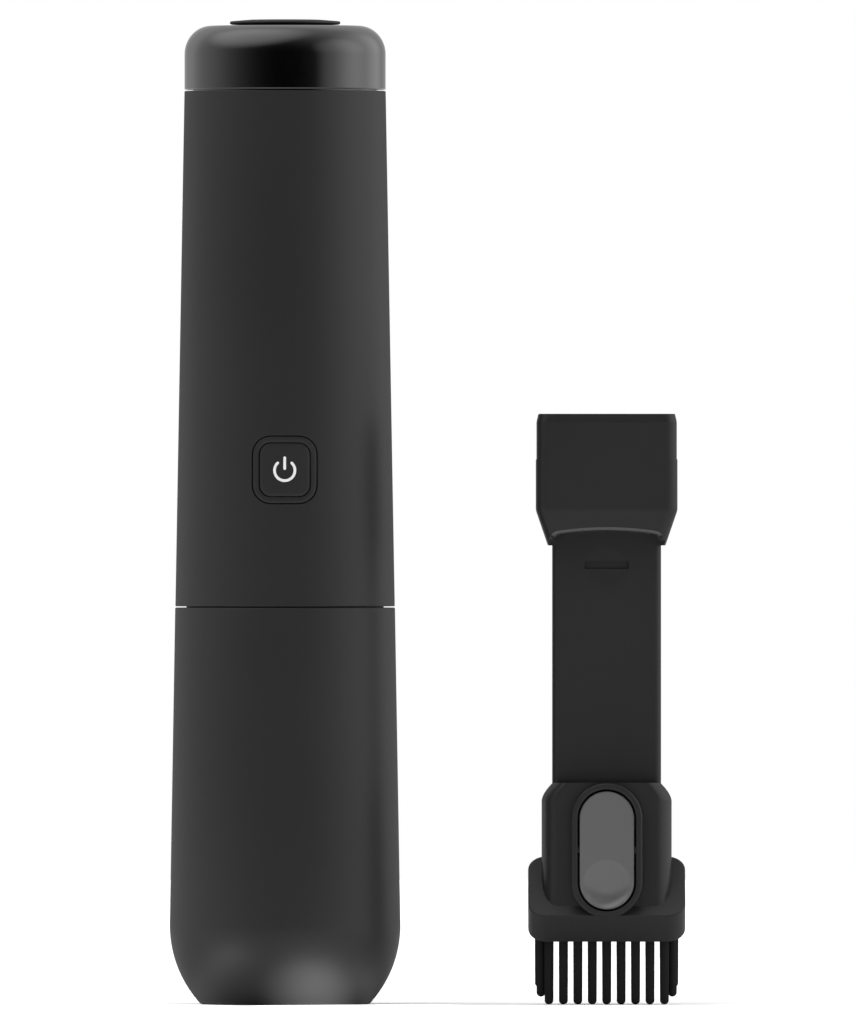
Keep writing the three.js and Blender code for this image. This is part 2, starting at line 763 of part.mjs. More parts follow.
const fanBottom = shroudBottom + shroudWall + fanRunning;
const fanTop = shroudTop - shroudWall - fanRunning;
const bladeOutline = () => {
  const root = fanHubRadius * bladeRootShare;
  const tip = fanRadius * bladeTipShare;
  const sweep = fanRadius * bladeSweepShare;
  const middle = (root + tip) / 2;
  return polygon([
    [root, -bladeThickness / 2],
    [middle, sweep / 3 - bladeThickness / 2],
    [tip * Math.cos(Math.asin(sweep / tip)), sweep - bladeThickness / 2],
    [tip * Math.cos(Math.asin(sweep / tip)), sweep + bladeThickness / 2],
    [middle, sweep / 3 + bladeThickness / 2],
    [root, bladeThickness / 2],
  ]);
};
const blades = Array.from({ length: bladeCount }, (_, i) => {
  const geometry = new THREE.ExtrudeGeometry(bladeOutline(), {
    depth: fanTop - fanPlate / 2 - fanBottom,
    bevelEnabled: false,
  });
  return solid(geometry.rotateZ(turnShare(i / bladeCount)).translate(bodyX, 0, fanBottom));
});
const fanBore = rod(shaftRadius + fitGap, 4 * shroudHeight, smallSides, [bodyX, 0, fanBottom]);
const fanHub = rod(fanHubRadius, fanTop - fanBottom, innerSides, [bodyX, 0, (fanTop + fanBottom) / 2]);
const fanDisc = rod(fanRadius, fanPlate, innerSides, [bodyX, 0, fanTop - fanPlate / 2]);
piece("fan_impeller", joined([fanHub, fanDisc, ...blades]).subtract(fanBore), greyPlastic);

// Motor: can, bearings, magnets, and a wound core on the shaft that carries the fan.
piece(
  "motor_mount",
  turned(
    [
      [shroudShaftRadius, shroudTop + fitGap],
      [canRadius + fitGap + mountRubberWall, shroudTop + fitGap],
      [canRadius + fitGap + mountRubberWall, canBottom + mountLip],
      [canRadius + fitGap, canBottom + mountLip],
      [canRadius + fitGap, canBottom - fitGap],
      [shroudShaftRadius, canBottom - fitGap],
    ],
    innerSides,
    bodyX,
  ),
  rubber,
);
piece(
  "motor_can",
  turned(
    [
      [bearingRadius + fitGap, canBottom],
      [canRadius, canBottom],
      [canRadius, canTop],
      [bearingRadius + fitGap, canTop],
      [bearingRadius + fitGap, canTop - canWall],
      [canRadius - canWall, canTop - canWall],
      [canRadius - canWall, canBottom + canWall],
      [bearingRadius + fitGap, canBottom + canWall],
    ],
    innerSides,
    bodyX,
  ),
  steel,
);
const bearings = { motor_bearing_lower: canBottom, motor_bearing_upper: canTop - bearingHeight };
for (const [name, from] of Object.entries(bearings)) {
  const bearing = [
    [shaftRadius + fitGap, from],
    [bearingRadius, from],
    [bearingRadius, from + bearingHeight],
    [shaftRadius + fitGap, from + bearingHeight],
  ];
  piece(name, turned(bearing, innerSides, bodyX), steel);
}
const magnetOuter = canRadius - canWall - fitGap;
const magnetInner = magnetOuter - magnetThickness;
const magnetLength = canHeight * magnetLengthShare;
for (const [name, middle] of [["magnet_front", -Math.PI / 2], ["magnet_back", Math.PI / 2]]) {
  const half = turnShare(magnetShare) / 2;
  const shape = new THREE.Shape();
  shape.absarc(0, 0, magnetOuter, middle - half, middle + half, false);
  shape.absarc(0, 0, magnetInner, middle + half, middle - half, true);
  shape.closePath();
  const low = canMiddle - magnetLength / 2;
  piece(name, raised(shape, low, low + magnetLength, bodyX), magnetic);
}
const coreRadius = magnetInner - airGap;
const coreLength = canHeight * coreLengthShare;
const core = rod(coreRadius, coreLength, innerSides, [bodyX, 0, canMiddle]);
const coreCuts = Array.from({ length: coreSlots }, (_, i) => {
  const cut = new THREE.BoxGeometry(2 * coreSlotDepth, coreSlotWidth, 2 * coreLength);
  cut.translate(coreRadius, 0, 0).rotateZ(turnShare(i / coreSlots));
  return solid(cut.translate(bodyX, 0, canMiddle));
});
const shaftBore = rod(shaftRadius + fitGap, 4 * canHeight, smallSides, [bodyX, 0, canMiddle]);
piece("motor_core", cutBy(core, [...coreCuts, shaftBore]), copper);
const commutatorFrom = canMiddle + coreLength / 2 + fitGap;
piece(
  "motor_commutator",
  rod(commutatorRadius, commutatorHeight, innerSides, [
    bodyX,
    0,
    commutatorFrom + commutatorHeight / 2,
  ]).subtract(shaftBore),
  copper,
);
const shaftTop = canTop + shaftTail;
piece(
  "motor_shaft",
  rod(shaftRadius, shaftTop - fanBottom, smallSides, [bodyX, 0, (shaftTop + fanBottom) / 2]),
  steel,
);

// Bracket over the motor: a plate across the housing, with a lip down round the can.
const bracketPlate = turned(
  [
    [bracketHoleRadius, bracketBottom],
    [canRadius + fitGap, bracketBottom],
    [canRadius + fitGap, bracketBottom - bracketLip],
    [canRadius + fitGap + bracketLipWall, bracketBottom - bracketLip],
    [canRadius + fitGap + bracketLipWall, bracketBottom],
    [housingInner(bracketTop) - fitGap, bracketBottom],
    [housingInner(bracketTop) - fitGap, bracketTop],
    [bracketHoleRadius, bracketTop],
  ],
  casingSides,
  bodyX,
);
const bracketVentCircle = housingInner(bracketTop) - bracketVentMargin - bracketVentRadius;
const bracketVents = bracketVentShares.map((share) =>
  rod(bracketVentRadius, 4 * bracketThickness, smallSides, [
    bodyX + bracketVentCircle * Math.cos(turnShare(share)),
    bracketVentCircle * Math.sin(turnShare(share)),
    bracketBottom,
  ]),
);
piece("motor_bracket", cutBy(bracketPlate, bracketVents), innerPlastic);

// Battery pack: three cells between two holders, joined by nickel strips.
const cellCircle = (2 * cellRadius + cellGap) / Math.sqrt(3);
const cellPlaces = [3 / 4, 1 / 12, 5 / 12].map((share) => [
  bodyX + cellCircle * Math.cos(turnShare(share)),
  cellCircle * Math.sin(turnShare(share)),
]);
const cellPockets = (middle) =>
  cellPlaces.map(([x, y]) => rod(cellRadius + fitGap, 2 * cellPocket, innerSides, [x, y, middle]));
const lowerPlate = turned(
  [
    [0, holderBottom],
    [housingInner(holderBottom + holderThickness) - fitGap, holderBottom],
    [housingInner(holderBottom + holderThickness) - fitGap, holderBottom + holderThickness],
    [0, holderBottom + holderThickness],
  ],
  casingSides,
  bodyX,
);
const packLegCircle = housingInner(bracketTop) - packLegMargin;
const packLegRods = baseScrewShares.map((share) =>
  rod(packLegRadius, packLegs + fitGap, smallSides, [
    bodyX + packLegCircle * Math.cos(turnShare(share + 1 / 6)),
    packLegCircle * Math.sin(turnShare(share + 1 / 6)),
    holderBottom + fitGap - (packLegs + fitGap) / 2,
  ]),
);
piece(
  "pack_holder_lower",
  cutBy(joined([lowerPlate, ...packLegRods]), cellPockets(holderBottom + holderThickness - fitGap)),
  innerPlastic,
);
const linkRadius = cellRadius * linkWidthShare;
const linkShape = (margin) => {
  const centres = cellPlaces.map(([x, y]) => new THREE.Vector2(x - bodyX, y));
  return new THREE.Shape(
    centres.flatMap((centre) => {
      const away = Math.atan2(centre.y, centre.x);
      return Array.from({ length: 2 * cornerSteps + 1 }, (_, i) => {
        const angle = away + (i / cornerSteps - 1) * (Math.PI / 3);
        return new THREE.Vector2(
          centre.x + (linkRadius + margin) * Math.cos(angle),
          centre.y + (linkRadius + margin) * Math.sin(angle),
        );
      });
    }),
  );
};
cellPlaces.forEach(([x, y], i) => {
  piece(
    "battery_cell_" + (i + 1),
    rod(cellRadius, cellLength - 2 * fitGap, innerSides, [x, y, (cellBottom + cellTop) / 2]),
    sleeving,
  );
});
piece(
  "cell_link",
  raised(linkShape(0), cellTop, cellTop + linkThickness, bodyX),
  steel,
);
const rimRadius = housingInner(upperPlateTop + holderRimHeight) - fitGap;
const upperHolder = turned(
  [
    [0, upperPlateBottom],
    [rimRadius, upperPlateBottom],
    [rimRadius, upperPlateTop + holderRimHeight],
    [rimRadius - holderRimWall, upperPlateTop + holderRimHeight],
    [rimRadius - holderRimWall, upperPlateTop],
    [0, upperPlateTop],
  ],
  casingSides,
  bodyX,
);
piece(
  "pack_holder_upper",
  cutBy(upperHolder, [
    ...cellPockets(upperPlateBottom + fitGap),
    raised(linkShape(fitGap), cellTop - cellPocket - overrun, cellTop + linkThickness + fitGap, bodyX),
  ]),
  innerPlastic,
);

// Charging board, slotted in upright between the two holders, and its port.
const boardLow = holderBottom + holderThickness + fitGap;
const boardHigh = upperPlateBottom - fitGap;
const portZ = (boardLow + boardHigh) / 2;
const chargeBoardPlace = cellCircle / 2 + cellRadius + chargeBoardRoom;
const chargeBoardBack = chargeBoardPlace + chargeBoardThickness;
piece(
  "charge_board",
  block(
    [bodyX - chargeBoardWidth / 2, chargeBoardPlace, boardLow],
    [bodyX + chargeBoardWidth / 2, chargeBoardBack, boardHigh],
  ),
  board,
);
const portMouth = housingRadius(portZ) - portInset;
const portFoot = chargeBoardBack + fitGap;
const portHollow = runBack(
  roundedShape(portWidth - 2 * portShell, portHeight - 2 * portShell, portHeight / 2 - portShell),
  portMouth - (portMouth - portFoot) * portLengthShare,
  portMouth + overrun,
  bodyX,
  portZ,
);
piece(
  "charge_port",
  runBack(roundedShape(portWidth, portHeight, portHeight / 2), portFoot, portMouth, bodyX, portZ)
    .subtract(portHollow),
  steel,
);
const portOpening = runBack(
  roundedShape(
    portWidth + 2 * portOpeningMargin,
    portHeight + 2 * portOpeningMargin,
    portHeight / 2 + portOpeningMargin,
  ),
  chargeBoardBack,
  housingBottomRadius + overrun,
  bodyX,
  portZ,
);

// Exhaust: rows of slots in the back of the housing, with a foam pad behind them.
const slotsFrom = columnTop + slotsAboveColumns;
const slotPitch = (bracketBottom - slotsBelowBracket - slotsFrom) / (slotCount - 1);
const slotShape = roundedShape(slotWidth, slotHeight, slotHeight / 2);
const slots = Array.from({ length: slotCount }, (_, i) =>
  runBack(slotShape, canRadius, housingBottomRadius + overrun, bodyX, slotsFrom + i * slotPitch),
);
const foamBottom = slotsFrom - slotHeight / 2 - foamMargin;
const foamTop = slotsFrom + (slotCount - 1) * slotPitch + slotHeight / 2 + foamMargin;
const foamOuter = housingInner(foamTop) - fitGap;
const foamShape = new THREE.Shape();
const foamHalf = turnShare(foamShare) / 2;
foamShape.absarc(0, 0, foamOuter, Math.PI / 2 - foamHalf, Math.PI / 2 + foamHalf, false);
foamShape.absarc(
  0,
  0,
  foamOuter - foamThickness,
  Math.PI / 2 + foamHalf,
  Math.PI / 2 - foamHalf,
  true,
);
foamShape.closePath();
piece("exhaust_foam", raised(foamShape, foamBottom, foamTop, bodyX), foam);

// Power button and its bezel: both follow the housing's curved face.
const faceRadius = housingRadius(buttonHeight);
const housingBody = turned(
  [
    [0, housingBottom],
    [housingBottomRadius, housingBottom],
    [housingTopRadius, housingTop],
    [0, housingTop],
  ],
  casingSides,
  bodyX,
);
const flangeHalfWidth = bezelWidth / 2 + bezelFlange;
const bezelFlangeFront =
  -Math.sqrt(housingInner(buttonHeight + bezelTall / 2 + bezelFlange) ** 2 - flangeHalfWidth ** 2) +
  fitGap;
const bezelFlangeBack = bezelFlangeFront + bezelFlangeThickness;
const frontOf = -housingBottomRadius - overrun;
const bezelBody = runBack(
  roundedShape(bezelWidth, bezelTall, bezelCorner),
  frontOf,
  bezelFlangeBack,
  bodyX,
  buttonHeight,
)
  .intersect(housingBody)
  .add(
    runBack(
      roundedShape(2 * flangeHalfWidth, bezelTall + 2 * bezelFlange, bezelCorner + bezelFlange),
      bezelFlangeFront,
      bezelFlangeBack,
      bodyX,
      buttonHeight,
    ),
  );
const bezelOpening = runBack(
  roundedShape(openingWidth, openingTall, openingCorner),
  frontOf,
  bezelFlangeBack + overrun,
  bodyX,
  buttonHeight,
);
piece("button_bezel", bezelBody.subtract(bezelOpening), satinPlastic);

const buttonRimFront = bezelFlangeBack + fitGap;
const buttonRimBack = buttonRimFront + buttonRim;
const buttonInside = -faceRadius + buttonFace;
const buttonBody = runBack(
  roundedShape(buttonWidth, buttonTall, buttonCorner),
  frontOf,
  buttonRimBack,
  bodyX,
  buttonHeight,
)
  .intersect(housingBody)
  .add(
    runBack(
      roundedShape(openingWidth + 2 * buttonRim, openingTall + 2 * buttonRim, openingCorner + buttonRim),
      buttonRimFront,
      buttonRimBack,
      bodyX,
      buttonHeight,
    ),
  );
const buttonHollow = runBack(
  roundedShape(buttonWidth - 2 * buttonSkirt, buttonTall - 2 * buttonSkirt, buttonCorner - buttonSkirt),
  buttonInside,
  buttonRimBack + overrun,
  bodyX,
  buttonHeight,
);
const boardFront = buttonRimBack + buttonTravel + boardClearance;
const switchFront = boardFront - fitGap - switchDepth;
const plungerFront = switchFront - plungerProud;
const stem = rod(
  buttonStemRadius,
  plungerFront - 2 * fitGap - buttonInside + 2 * fitGap,
  smallSides,
  [bodyX, (plungerFront - 2 * fitGap + buttonInside) / 2, buttonHeight],
  "y",
);
piece("power_button", buttonBody.subtract(buttonHollow).add(stem), satinPlastic);

// Switch board behind the button, with its tactile switch.
const switchBody = block(
  [bodyX - switchSide / 2, switchFront, buttonHeight - switchSide / 2],
  [bodyX + switchSide / 2, boardFront - fitGap, buttonHeight + switchSide / 2],
);
const plungerBack = plungerFront + plungerLength;
const plungerBore = rod(
  plungerRadius + fitGap,
  2 * (plungerBack + buttonTravel + fitGap - switchFront),
  smallSides,
  [bodyX, switchFront, buttonHeight],
  "y",
);
piece("tactile_switch", switchBody.subtract(plungerBore), innerPlastic);
piece(
  "switch_plunger",
  rod(
    plungerRadius,
    plungerLength,
    smallSides,
    [bodyX, (plungerFront + plungerBack) / 2, buttonHeight],
    "y",
  ),
  greyPlastic,
);
const bossZ = buttonHeight - boardBossDrop;
const boardBossReach = boardWidth / 2 - boardBossInset;
const bossXs = [bodyX - boardBossReach, bodyX + boardBossReach];
const boardHoles = bossXs.map((x) =>
  rod(boardScrewRadius + fitGap, 4 * boardScrewLength, smallSides, [x, boardFront, bossZ], "y"),
);
const switchBoard = block(
  [bodyX - boardWidth / 2, boardFront, bossZ - boardEdge],
  [bodyX + boardWidth / 2, boardFront + boardThickness, bracketBottom - boardTopGap],
);
piece("switch_board", cutBy(switchBoard, boardHoles), board);
bossXs.forEach((x, i) => {
  const headFront = boardFront + boardThickness + fitGap;
  const shank = rod(
    boardScrewRadius,
    boardScrewLength + boardScrewHeadHeight,
    smallSides,
    [x, headFront - (boardScrewLength - boardScrewHeadHeight) / 2, bossZ],
    "y",
  );
  const head = rod(
    boardScrewHeadRadius,
    boardScrewHeadHeight,
    smallSides,
    [x, headFront + boardScrewHeadHeight / 2, bossZ],
    "y",
  );
  piece("board_screw_" + (i + 1), shank.add(head), steel);
});

// Housing: a tapered tube with screw columns, board bosses and the openings of the pieces above.
const housingTube = turned(
  [
    [housingBottomRadius - casingWall, housingBottom],
    [housingBottomRadius, housingBottom],
    [housingTopRadius, housingTop],
    [housingTopRadius - casingWall, housingTop],
  ],
  casingSides,
  bodyX,
);
const columns = screwPlaces.map(([x, y]) =>
  rod(columnRadius, columnHeight, smallSides, [x, y, columnBottom + columnHeight / 2]),
);
const columnRibs = baseScrewShares.map((share) => {
  const far = housingInner(housingBottom) + casingWall / 2;
  const rib = new THREE.BoxGeometry(far - baseScrewCircle, columnRibWidth, columnRibHeight);
  rib.translate((far + baseScrewCircle) / 2, 0, columnTop - columnRibHeight / 2);
  return solid(rib.rotateZ(turnShare(share)).translate(bodyX, 0, 0));
});
const boardBosses = bossXs.map((x) => {
  const front = -housingRadius(bossZ) + casingWall / 2 + boardBossRadius;
  const back = boardFront - fitGap;
  return rod(boardBossRadius, back - front, smallSides, [x, (front + back) / 2, bossZ], "y");
});
const bezelSeat = runBack(
  roundedShape(bezelWidth + 2 * fitGap, bezelTall + 2 * fitGap, bezelCorner + fitGap),
  frontOf,
  boardFront,
  bodyX,
  buttonHeight,
);
const innerBosses = joined([...columns, ...columnRibs, ...boardBosses]).intersect(housingBody.add(
  turned(
    [
      [0, columnBottom - overrun],
      [housingInner(housingBottom), columnBottom - overrun],
      [housingInner(housingBottom), housingBottom + overrun],
      [0, housingBottom + overrun],
    ],
    casingSides,
    bodyX,
  ),
));
const bossBores = bossXs.map((x) =>
  rod(
    boardScrewRadius + fitGap,
    2 * (boardScrewLength - boardThickness),
    smallSides,
    [x, boardFront, bossZ],
    "y",
  ),
);
const columnBores = screwPlaces.map(([x, y]) =>
  rod(baseScrewRadius + fitGap, 2 * baseScrewLength, smallSides, [x, y, columnBottom]),
);
piece(
  "upper_housing",
  cutBy(housingTube.add(innerBosses), [
    ...columnBores,
    ...bossBores,
    ...slots,
    portOpening,
    bezelSeat,
  ]),
  satinPlastic,
);
screwPlaces.forEach(([x, y], i) => {
  const headTop = spigotBottom - fitGap;
  const shank = rod(baseScrewRadius, baseScrewLength, smallSides, [
    x,
    y,
    headTop + baseScrewLength / 2 - baseScrewHeadHeight / 2,
  ]);
  const head = rod(baseScrewHeadRadius, baseScrewHeadHeight, smallSides, [
    x,
    y,
    headTop - baseScrewHeadHeight / 2,
  ]);
  piece("base_screw_" + (i + 1), shank.add(head), steel);
});

// Gloss cap with its skirt inside the housing, and the pad on top of it.
const shoulderArc = (radius, topRadius, from, to) =>
  Array.from({ length: footSteps + 1 }, (_, i) => {
    const angle = (Math.PI / 2) * (i / footSteps);
    return [topRadius + (radius - topRadius) * Math.cos(angle), from + (to - from) * Math.sin(angle)];
  });
const skirtRadius = housingInner(housingTop) - fitGap;
const capInner = capRadius - casingWall;
piece(
  "top_cap",
  turned(
    [
      [0, capTop - casingWall],
      ...shoulderArc(capInner, capTopRadius, capBottom + capStraight, capTop - casingWall).reverse(),
      [skirtRadius - casingWall, capBottom + casingWall],
      [skirtRadius - casingWall, capSkirtBottom],
      [skirtRadius, capSkirtBottom],
      [skirtRadius, capBottom],
      [capRadius, capBottom],
      ...shoulderArc(capRadius, capTopRadius, capBottom + capStraight, capTop),
      [discStubRadius + fitGap, capTop],
      [discStubRadius + fitGap, capTop - discStubDepth],
      [0, capTop - discStubDepth],
    ],
    casingSides,
    bodyX,
  ),
  glossPlastic,
);
const discBottom = capTop + fitGap;
const discTop = discBottom + discThickness;
piece(
  "top_disc",
  turned(
    [
      [0, capTop - discStubDepth + fitGap],
      [discStubRadius, capTop - discStubDepth + fitGap],
      [discStubRadius, discBottom],
      [discRadius - discRim, discBottom],
      [discRadius, discBottom + discRim],
      [discRadius - discRim, discTop - discRim],
      [discFlatRadius, discTop],
      [0, discTop],
    ],
    casingSides,
    bodyX,
  ),
  innerPlastic,
);

// Crevice tube, with a slanted end, two latch slots and a shallow thumb mark.
const headCentre = headEdgeHeight + (headLength / 2) * Math.sin(headTilt);
const inHead = (body) =>
  body.rotate([THREE.MathUtils.radToDeg(headTilt), 0, 0]).translate([toolX, 0, headCentre]);
const tubeEnd = tubeTipInset / Math.cos(headTilt);
const tubeOuter = raised(
  roundedShape(tubeWidth, tubeDepth, tubeCorner),
  headCentre - tubeDepth,
  tubeTop,
  toolX,
);
const tubeBore = raised(
  roundedShape(tubeWidth - 2 * tubeWall, tubeDepth - 2 * tubeWall, tubeCorner - tubeWall),
  headCentre - 2 * tubeDepth,
  tubeTop + overrun,
  toolX,
);
const belowHead = inHead(
  block([-headWidth, -headLength, -headThickness], [headWidth, headLength, tubeEnd * Math.cos(headTilt)]),
);
const toothZ = latchCentre + toothPlace;
const latchSlots = [toothZ, latchSlotPlace].map((z) =>
  block(
    [toolX - latchSlotWidth / 2, -tubeDepth / 2 - overrun, z - latchSlotHeight / 2],
    [toolX + latchSlotWidth / 2, -tubeDepth / 2 + tubeWall + fitGap, z + latchSlotHeight / 2],
  ),
);
// A round dish: the cap of a large sphere, sunk by the given depth at its middle.
function dish(radius, depth, front, z) {
  const sphere = (radius ** 2 + depth ** 2) / (2 * depth);
  const steps = [0, 1 / 3, 2 / 3, 1].map((share) => {
    const angle = Math.asin(radius / sphere) * share;
    return [sphere * Math.sin(angle), sphere * (Math.cos(angle) - 1) + depth];
  });
  const points = [...steps, [radius, -overrun], [0, -overrun]].map(([r, h]) => new THREE.Vector2(r, h));
  return solid(new THREE.LatheGeometry(points, innerSides).translate(toolX, front, z));
}
const thumbMark = dish(
  thumbMarkRadius,
  thumbMarkDepth,
  -tubeDepth / 2,
  latchSlotPlace - thumbMarkDrop,
);
piece(
  "crevice_tube",
  cutBy(tubeOuter, [tubeBore, belowHead, ...latchSlots, thumbMark]),
  toolPlastic,
);

// Connector that plugs into the suction mouth, with an arched foot round the tube.
const connectorRings = [
  [connectorBottom, connectorFootHalfWidth, taperHalfDepth],
  [taperBottom, taperHalfWidth, taperHalfDepth],
  [taperTop, connectorHalfWidth, connectorHalfDepth],
  [connectorTop - plugLength - plugStep, connectorHalfWidth, connectorHalfDepth],
  [connectorTop - plugLength, plugHalfWidth, connectorHalfDepth],
  [connectorTop - plugChamfer, plugHalfWidth, connectorHalfDepth],
  [connectorTop, plugTopHalfWidth, connectorHalfDepth - plugHalfWidth + plugTopHalfWidth],
].map(([at, halfWidth, halfDepth]) => ({
  outline: roundedOutline(halfWidth, halfDepth, connectorCorner),
  at,
}));
const connectorOuter = solid(skinned(connectorRings).translate(toolX, 0, 0));
const hollowHalfWidth = plugTopHalfWidth - connectorWall;
const hollowHalfDepth = connectorHalfDepth - connectorWall - (plugHalfWidth - plugTopHalfWidth);
const boreHalfWidth = tubeWidth / 2 - tubeWall;
const boreHalfDepth = tubeDepth / 2 - tubeWall;
const boreCorner = tubeCorner - tubeWall;
const throatRings = [
  [tubeTop - overrun, boreHalfWidth, boreHalfDepth, boreCorner],
  [tubeTop + fitGap, boreHalfWidth, boreHalfDepth, boreCorner],
  [throatBottom, hollowHalfWidth, hollowHalfDepth, connectorCorner - connectorWall],
  [connectorTop + overrun, hollowHalfWidth, hollowHalfDepth, connectorCorner - connectorWall],
].map(([at, halfWidth, halfDepth, corner]) => ({
  outline: roundedOutline(halfWidth, halfDepth, corner),
  at,
}));
const throat = solid(skinned(throatRings).translate(toolX, 0, 0));
const tubeSocket = raised(
  roundedShape(tubeWidth + 2 * fitGap, tubeDepth + 2 * fitGap, tubeCorner + fitGap),
  connectorBottom - overrun,
  tubeTop + fitGap,
  toolX,
);
const archHalfWidth = tubeWidth / 2 - archInset;
const archSideHalfWidth = tubeWidth / 2 + archSideWall;
const archFootHalfWidth = tubeWidth / 2 + archFootWall;
const archOutline = (drop) =>
  [
    [-archFootHalfWidth, -overrun],
    [archFootHalfWidth, -overrun],
    [archFootHalfWidth, archFoot - drop],
    [archSideHalfWidth, archSide - drop],
    [archHalfWidth, archShoulder - drop],
    [archHalfWidth / 2, (3 * archTop + archShoulder) / 4 - drop],
    [0, archTop - drop],
    [-archHalfWidth / 2, (3 * archTop + archShoulder) / 4 - drop],
    [-archHalfWidth, archShoulder - drop],
    [-archSideHalfWidth, archSide - drop],
    [-archFootHalfWidth, archFoot - drop],
  ].map(([x, z]) => new THREE.Vector2(x, connectorBottom + z));
const arches = [-1, 1].map((side) => {
  const rings = [
    { outline: archOutline(archSlope), at: side * (tubeDepth / 2 + fitGap) },
    { outline: archOutline(0), at: side * connectorHalfDepth },
    { outline: archOutline(0), at: side * (connectorHalfDepth + overrun) },
  ];
  return solid(skinned(rings).rotateX(Math.PI / 2).translate(toolX, 0, 0));
});
piece("tool_connector", cutBy(connectorOuter, [throat, tubeSocket, ...arches]), toolPlastic);

// Brush: the slanted head and the sleeve that slides on the tube, moulded in one.
const headSlab = inHead(raised(roundedShape(headWidth, headLength, headCorner), 0, headThickness));
const sleeveOutline = (inset) => {
  const half = sleeveHalfWidth - inset;
  const points = [];
  for (let i = 0; i <= cornerSteps + 2; i++) {
    const angle = (Math.PI / 2) * (i / (cornerSteps + 2));
    points.push([
      half - sleeveCorner + sleeveCorner * Math.sin(angle),
      -sleeveSideFront - (sleeveFront - sleeveSideFront) * Math.cos(angle),
    ]);
  }
  for (let i = 0; i <= cornerSteps; i++) {
    const angle = (Math.PI / 2) * (i / cornerSteps);
    points.push([
      half - sleeveBackCorner + sleeveBackCorner * Math.cos(angle),
      sleeveBack - sleeveBackCorner + sleeveBackCorner * Math.sin(angle),
    ]);
  }
  const mirrored = points.map(([x, y]) => [-x, y]).reverse();
  return [...points, ...mirrored].map(([x, y]) => new THREE.Vector2(x, y));
};
const sleeveRings = [
  { outline: sleeveOutline(0), at: headEdgeHeight - headThickness },
  ...shoulderHeightShares
    .map((share, i) => ({
      outline: sleeveOutline(sleeveSide * shoulderInsetShares[i]),
      at: sleeveTop - shoulderHeight * share,
    }))
    .reverse(),
];
const rootKeep = inHead(
  block(
    [-headWidth, -headLength / 2 + sleeveEdgeInset, headThickness - headRoot],
    [headWidth, 4 * headLength, 4 * headLength],
  ),
);
const sleeve = solid(skinned(sleeveRings).translate(toolX, 0, 0)).intersect(rootKeep);
const stadium = (width, tall) => roundedShape(width, tall, width / 2);
const boss = runBack(stadium(bossWidth, bossTall), -bossFront, -sleeveSideFront, toolX, latchCentre)
  .intersect(rootKeep.add(runBack(
    stadium(bossWidth, bossTall), -bossFront, -sleeveFront, toolX, latchCentre,
  )));
const passageHalfWidth = tubeWidth / 2 + fitGap;
const passageHalfDepth = tubeDepth / 2 + fitGap;
const passage = raised(
  roundedShape(2 * passageHalfWidth, 2 * passageHalfDepth, tubeCorner + fitGap),
  -overrun,
  sleeveTop + overrun,
  toolX,
);
const pocket = runBack(
  stadium(latchWidth + 2 * latchGap, latchTall + 2 * latchGap),
  -bossFront - overrun,
  -latchPocketFloor,
  toolX,
  latchCentre,
);
const trunnionSeat = rod(
  trunnionRadius + fitGap,
  latchWidth + 2 * (trunnionLength + fitGap),
  smallSides,
  [toolX, -latchAxle, latchCentre],
  "x",
);
const latchBack = -latchFront + latchThickness;
const leafFront = latchBack + fitGap;
const toothWindow = block(
  [toolX - toothHalfWidth - fitGap, leafFront - fitGap, toothZ - toothHeight / 2 - fitGap],
  [toolX + toothHalfWidth + fitGap, 0, toothZ + toothHeight / 2 + toothSwing],
);
const recess = inHead(
  raised(
    roundedShape(headWidth - 2 * recessInset, headLength - 2 * recessInset, headCorner - recessInset),
    -overrun,
    stripThickness + fitGap,
  ),
);
piece(
  "brush_body",
  cutBy(joined([headSlab, sleeve, boss]), [passage, pocket, trunnionSeat, toothWindow, recess]),
  toolPlastic,
);

// Bristles: thick round-tipped bristles in a ring, in four slices fused to their backing strip.
const tipHeight = (y) => (y + rowPlace) * Math.tan(headTilt);
const bristle = (x, y) => {
  const bottom = tipHeight(y);
  const profile = [
    [0, bottom],
    [bristleRadius * 0.62, bottom + bristleRadius * 0.22],
    [bristleRadius, bottom + bristleRadius * 0.8],
    [bristleRadius, headCentre + y + headThickness],
    [0, headCentre + y + headThickness],
  ];
  return turned(profile, bristleSides, toolX + x).translate([0, y, 0]);
};
const strip = inHead(
  raised(
    roundedShape(headWidth - 2 * stripInset, headLength - 2 * stripInset, headCorner - stripInset),
    0,
    stripThickness,
  ),
).subtract(passage);
const belowStripRoot = inHead(
  block([-headWidth, -2 * headLength, -4 * headLength], [headWidth, 2 * headLength, stripRoot]),
);
const columnsOfRow = Array.from(
  { length: bristlesInRow },
  (_, i) => (i - (bristlesInRow - 1) / 2) * bristlePitch,
);
const sideX = headWidth / 2 - sideBristleInset;
const cornerX = sideX - cornerBristleInset;
const [frontCornerY, frontSideY, backSideY, backCornerY] = sideBristleShares.map(
  (share) => share * rowPlace,
);
const sliceBox = (low, high) =>
  block(
    [toolX + low[0], low[1], -headLength],
    [toolX + high[0], high[1], headCentre + headLength],
  );
const rowWithCorners = (rowY, cornerY) => [
  [-cornerX, cornerY],
  ...columnsOfRow.map((x) => [x, rowY]),
  [cornerX, cornerY],
];
const slices = {
  bristles_front: {
    places: rowWithCorners(-rowPlace, frontCornerY),
    keep: sliceBox([-headWidth, -headLength], [headWidth, -bristleSplit - fitGap / 2]),
  },
  bristles_back: {
    places: rowWithCorners(rowPlace, backCornerY),
    keep: sliceBox([-headWidth, bristleSplit + fitGap / 2], [headWidth, headLength]),
  },
  bristles_left: {
    places: [frontSideY, backSideY].map((y) => [-sideX, y]),
    keep: sliceBox([-headWidth, -bristleSplit + fitGap / 2], [0, bristleSplit - fitGap / 2]),
  },
  bristles_right: {
    places: [frontSideY, backSideY].map((y) => [sideX, y]),
    keep: sliceBox([0, -bristleSplit + fitGap / 2], [headWidth, bristleSplit - fitGap / 2]),
  },
};
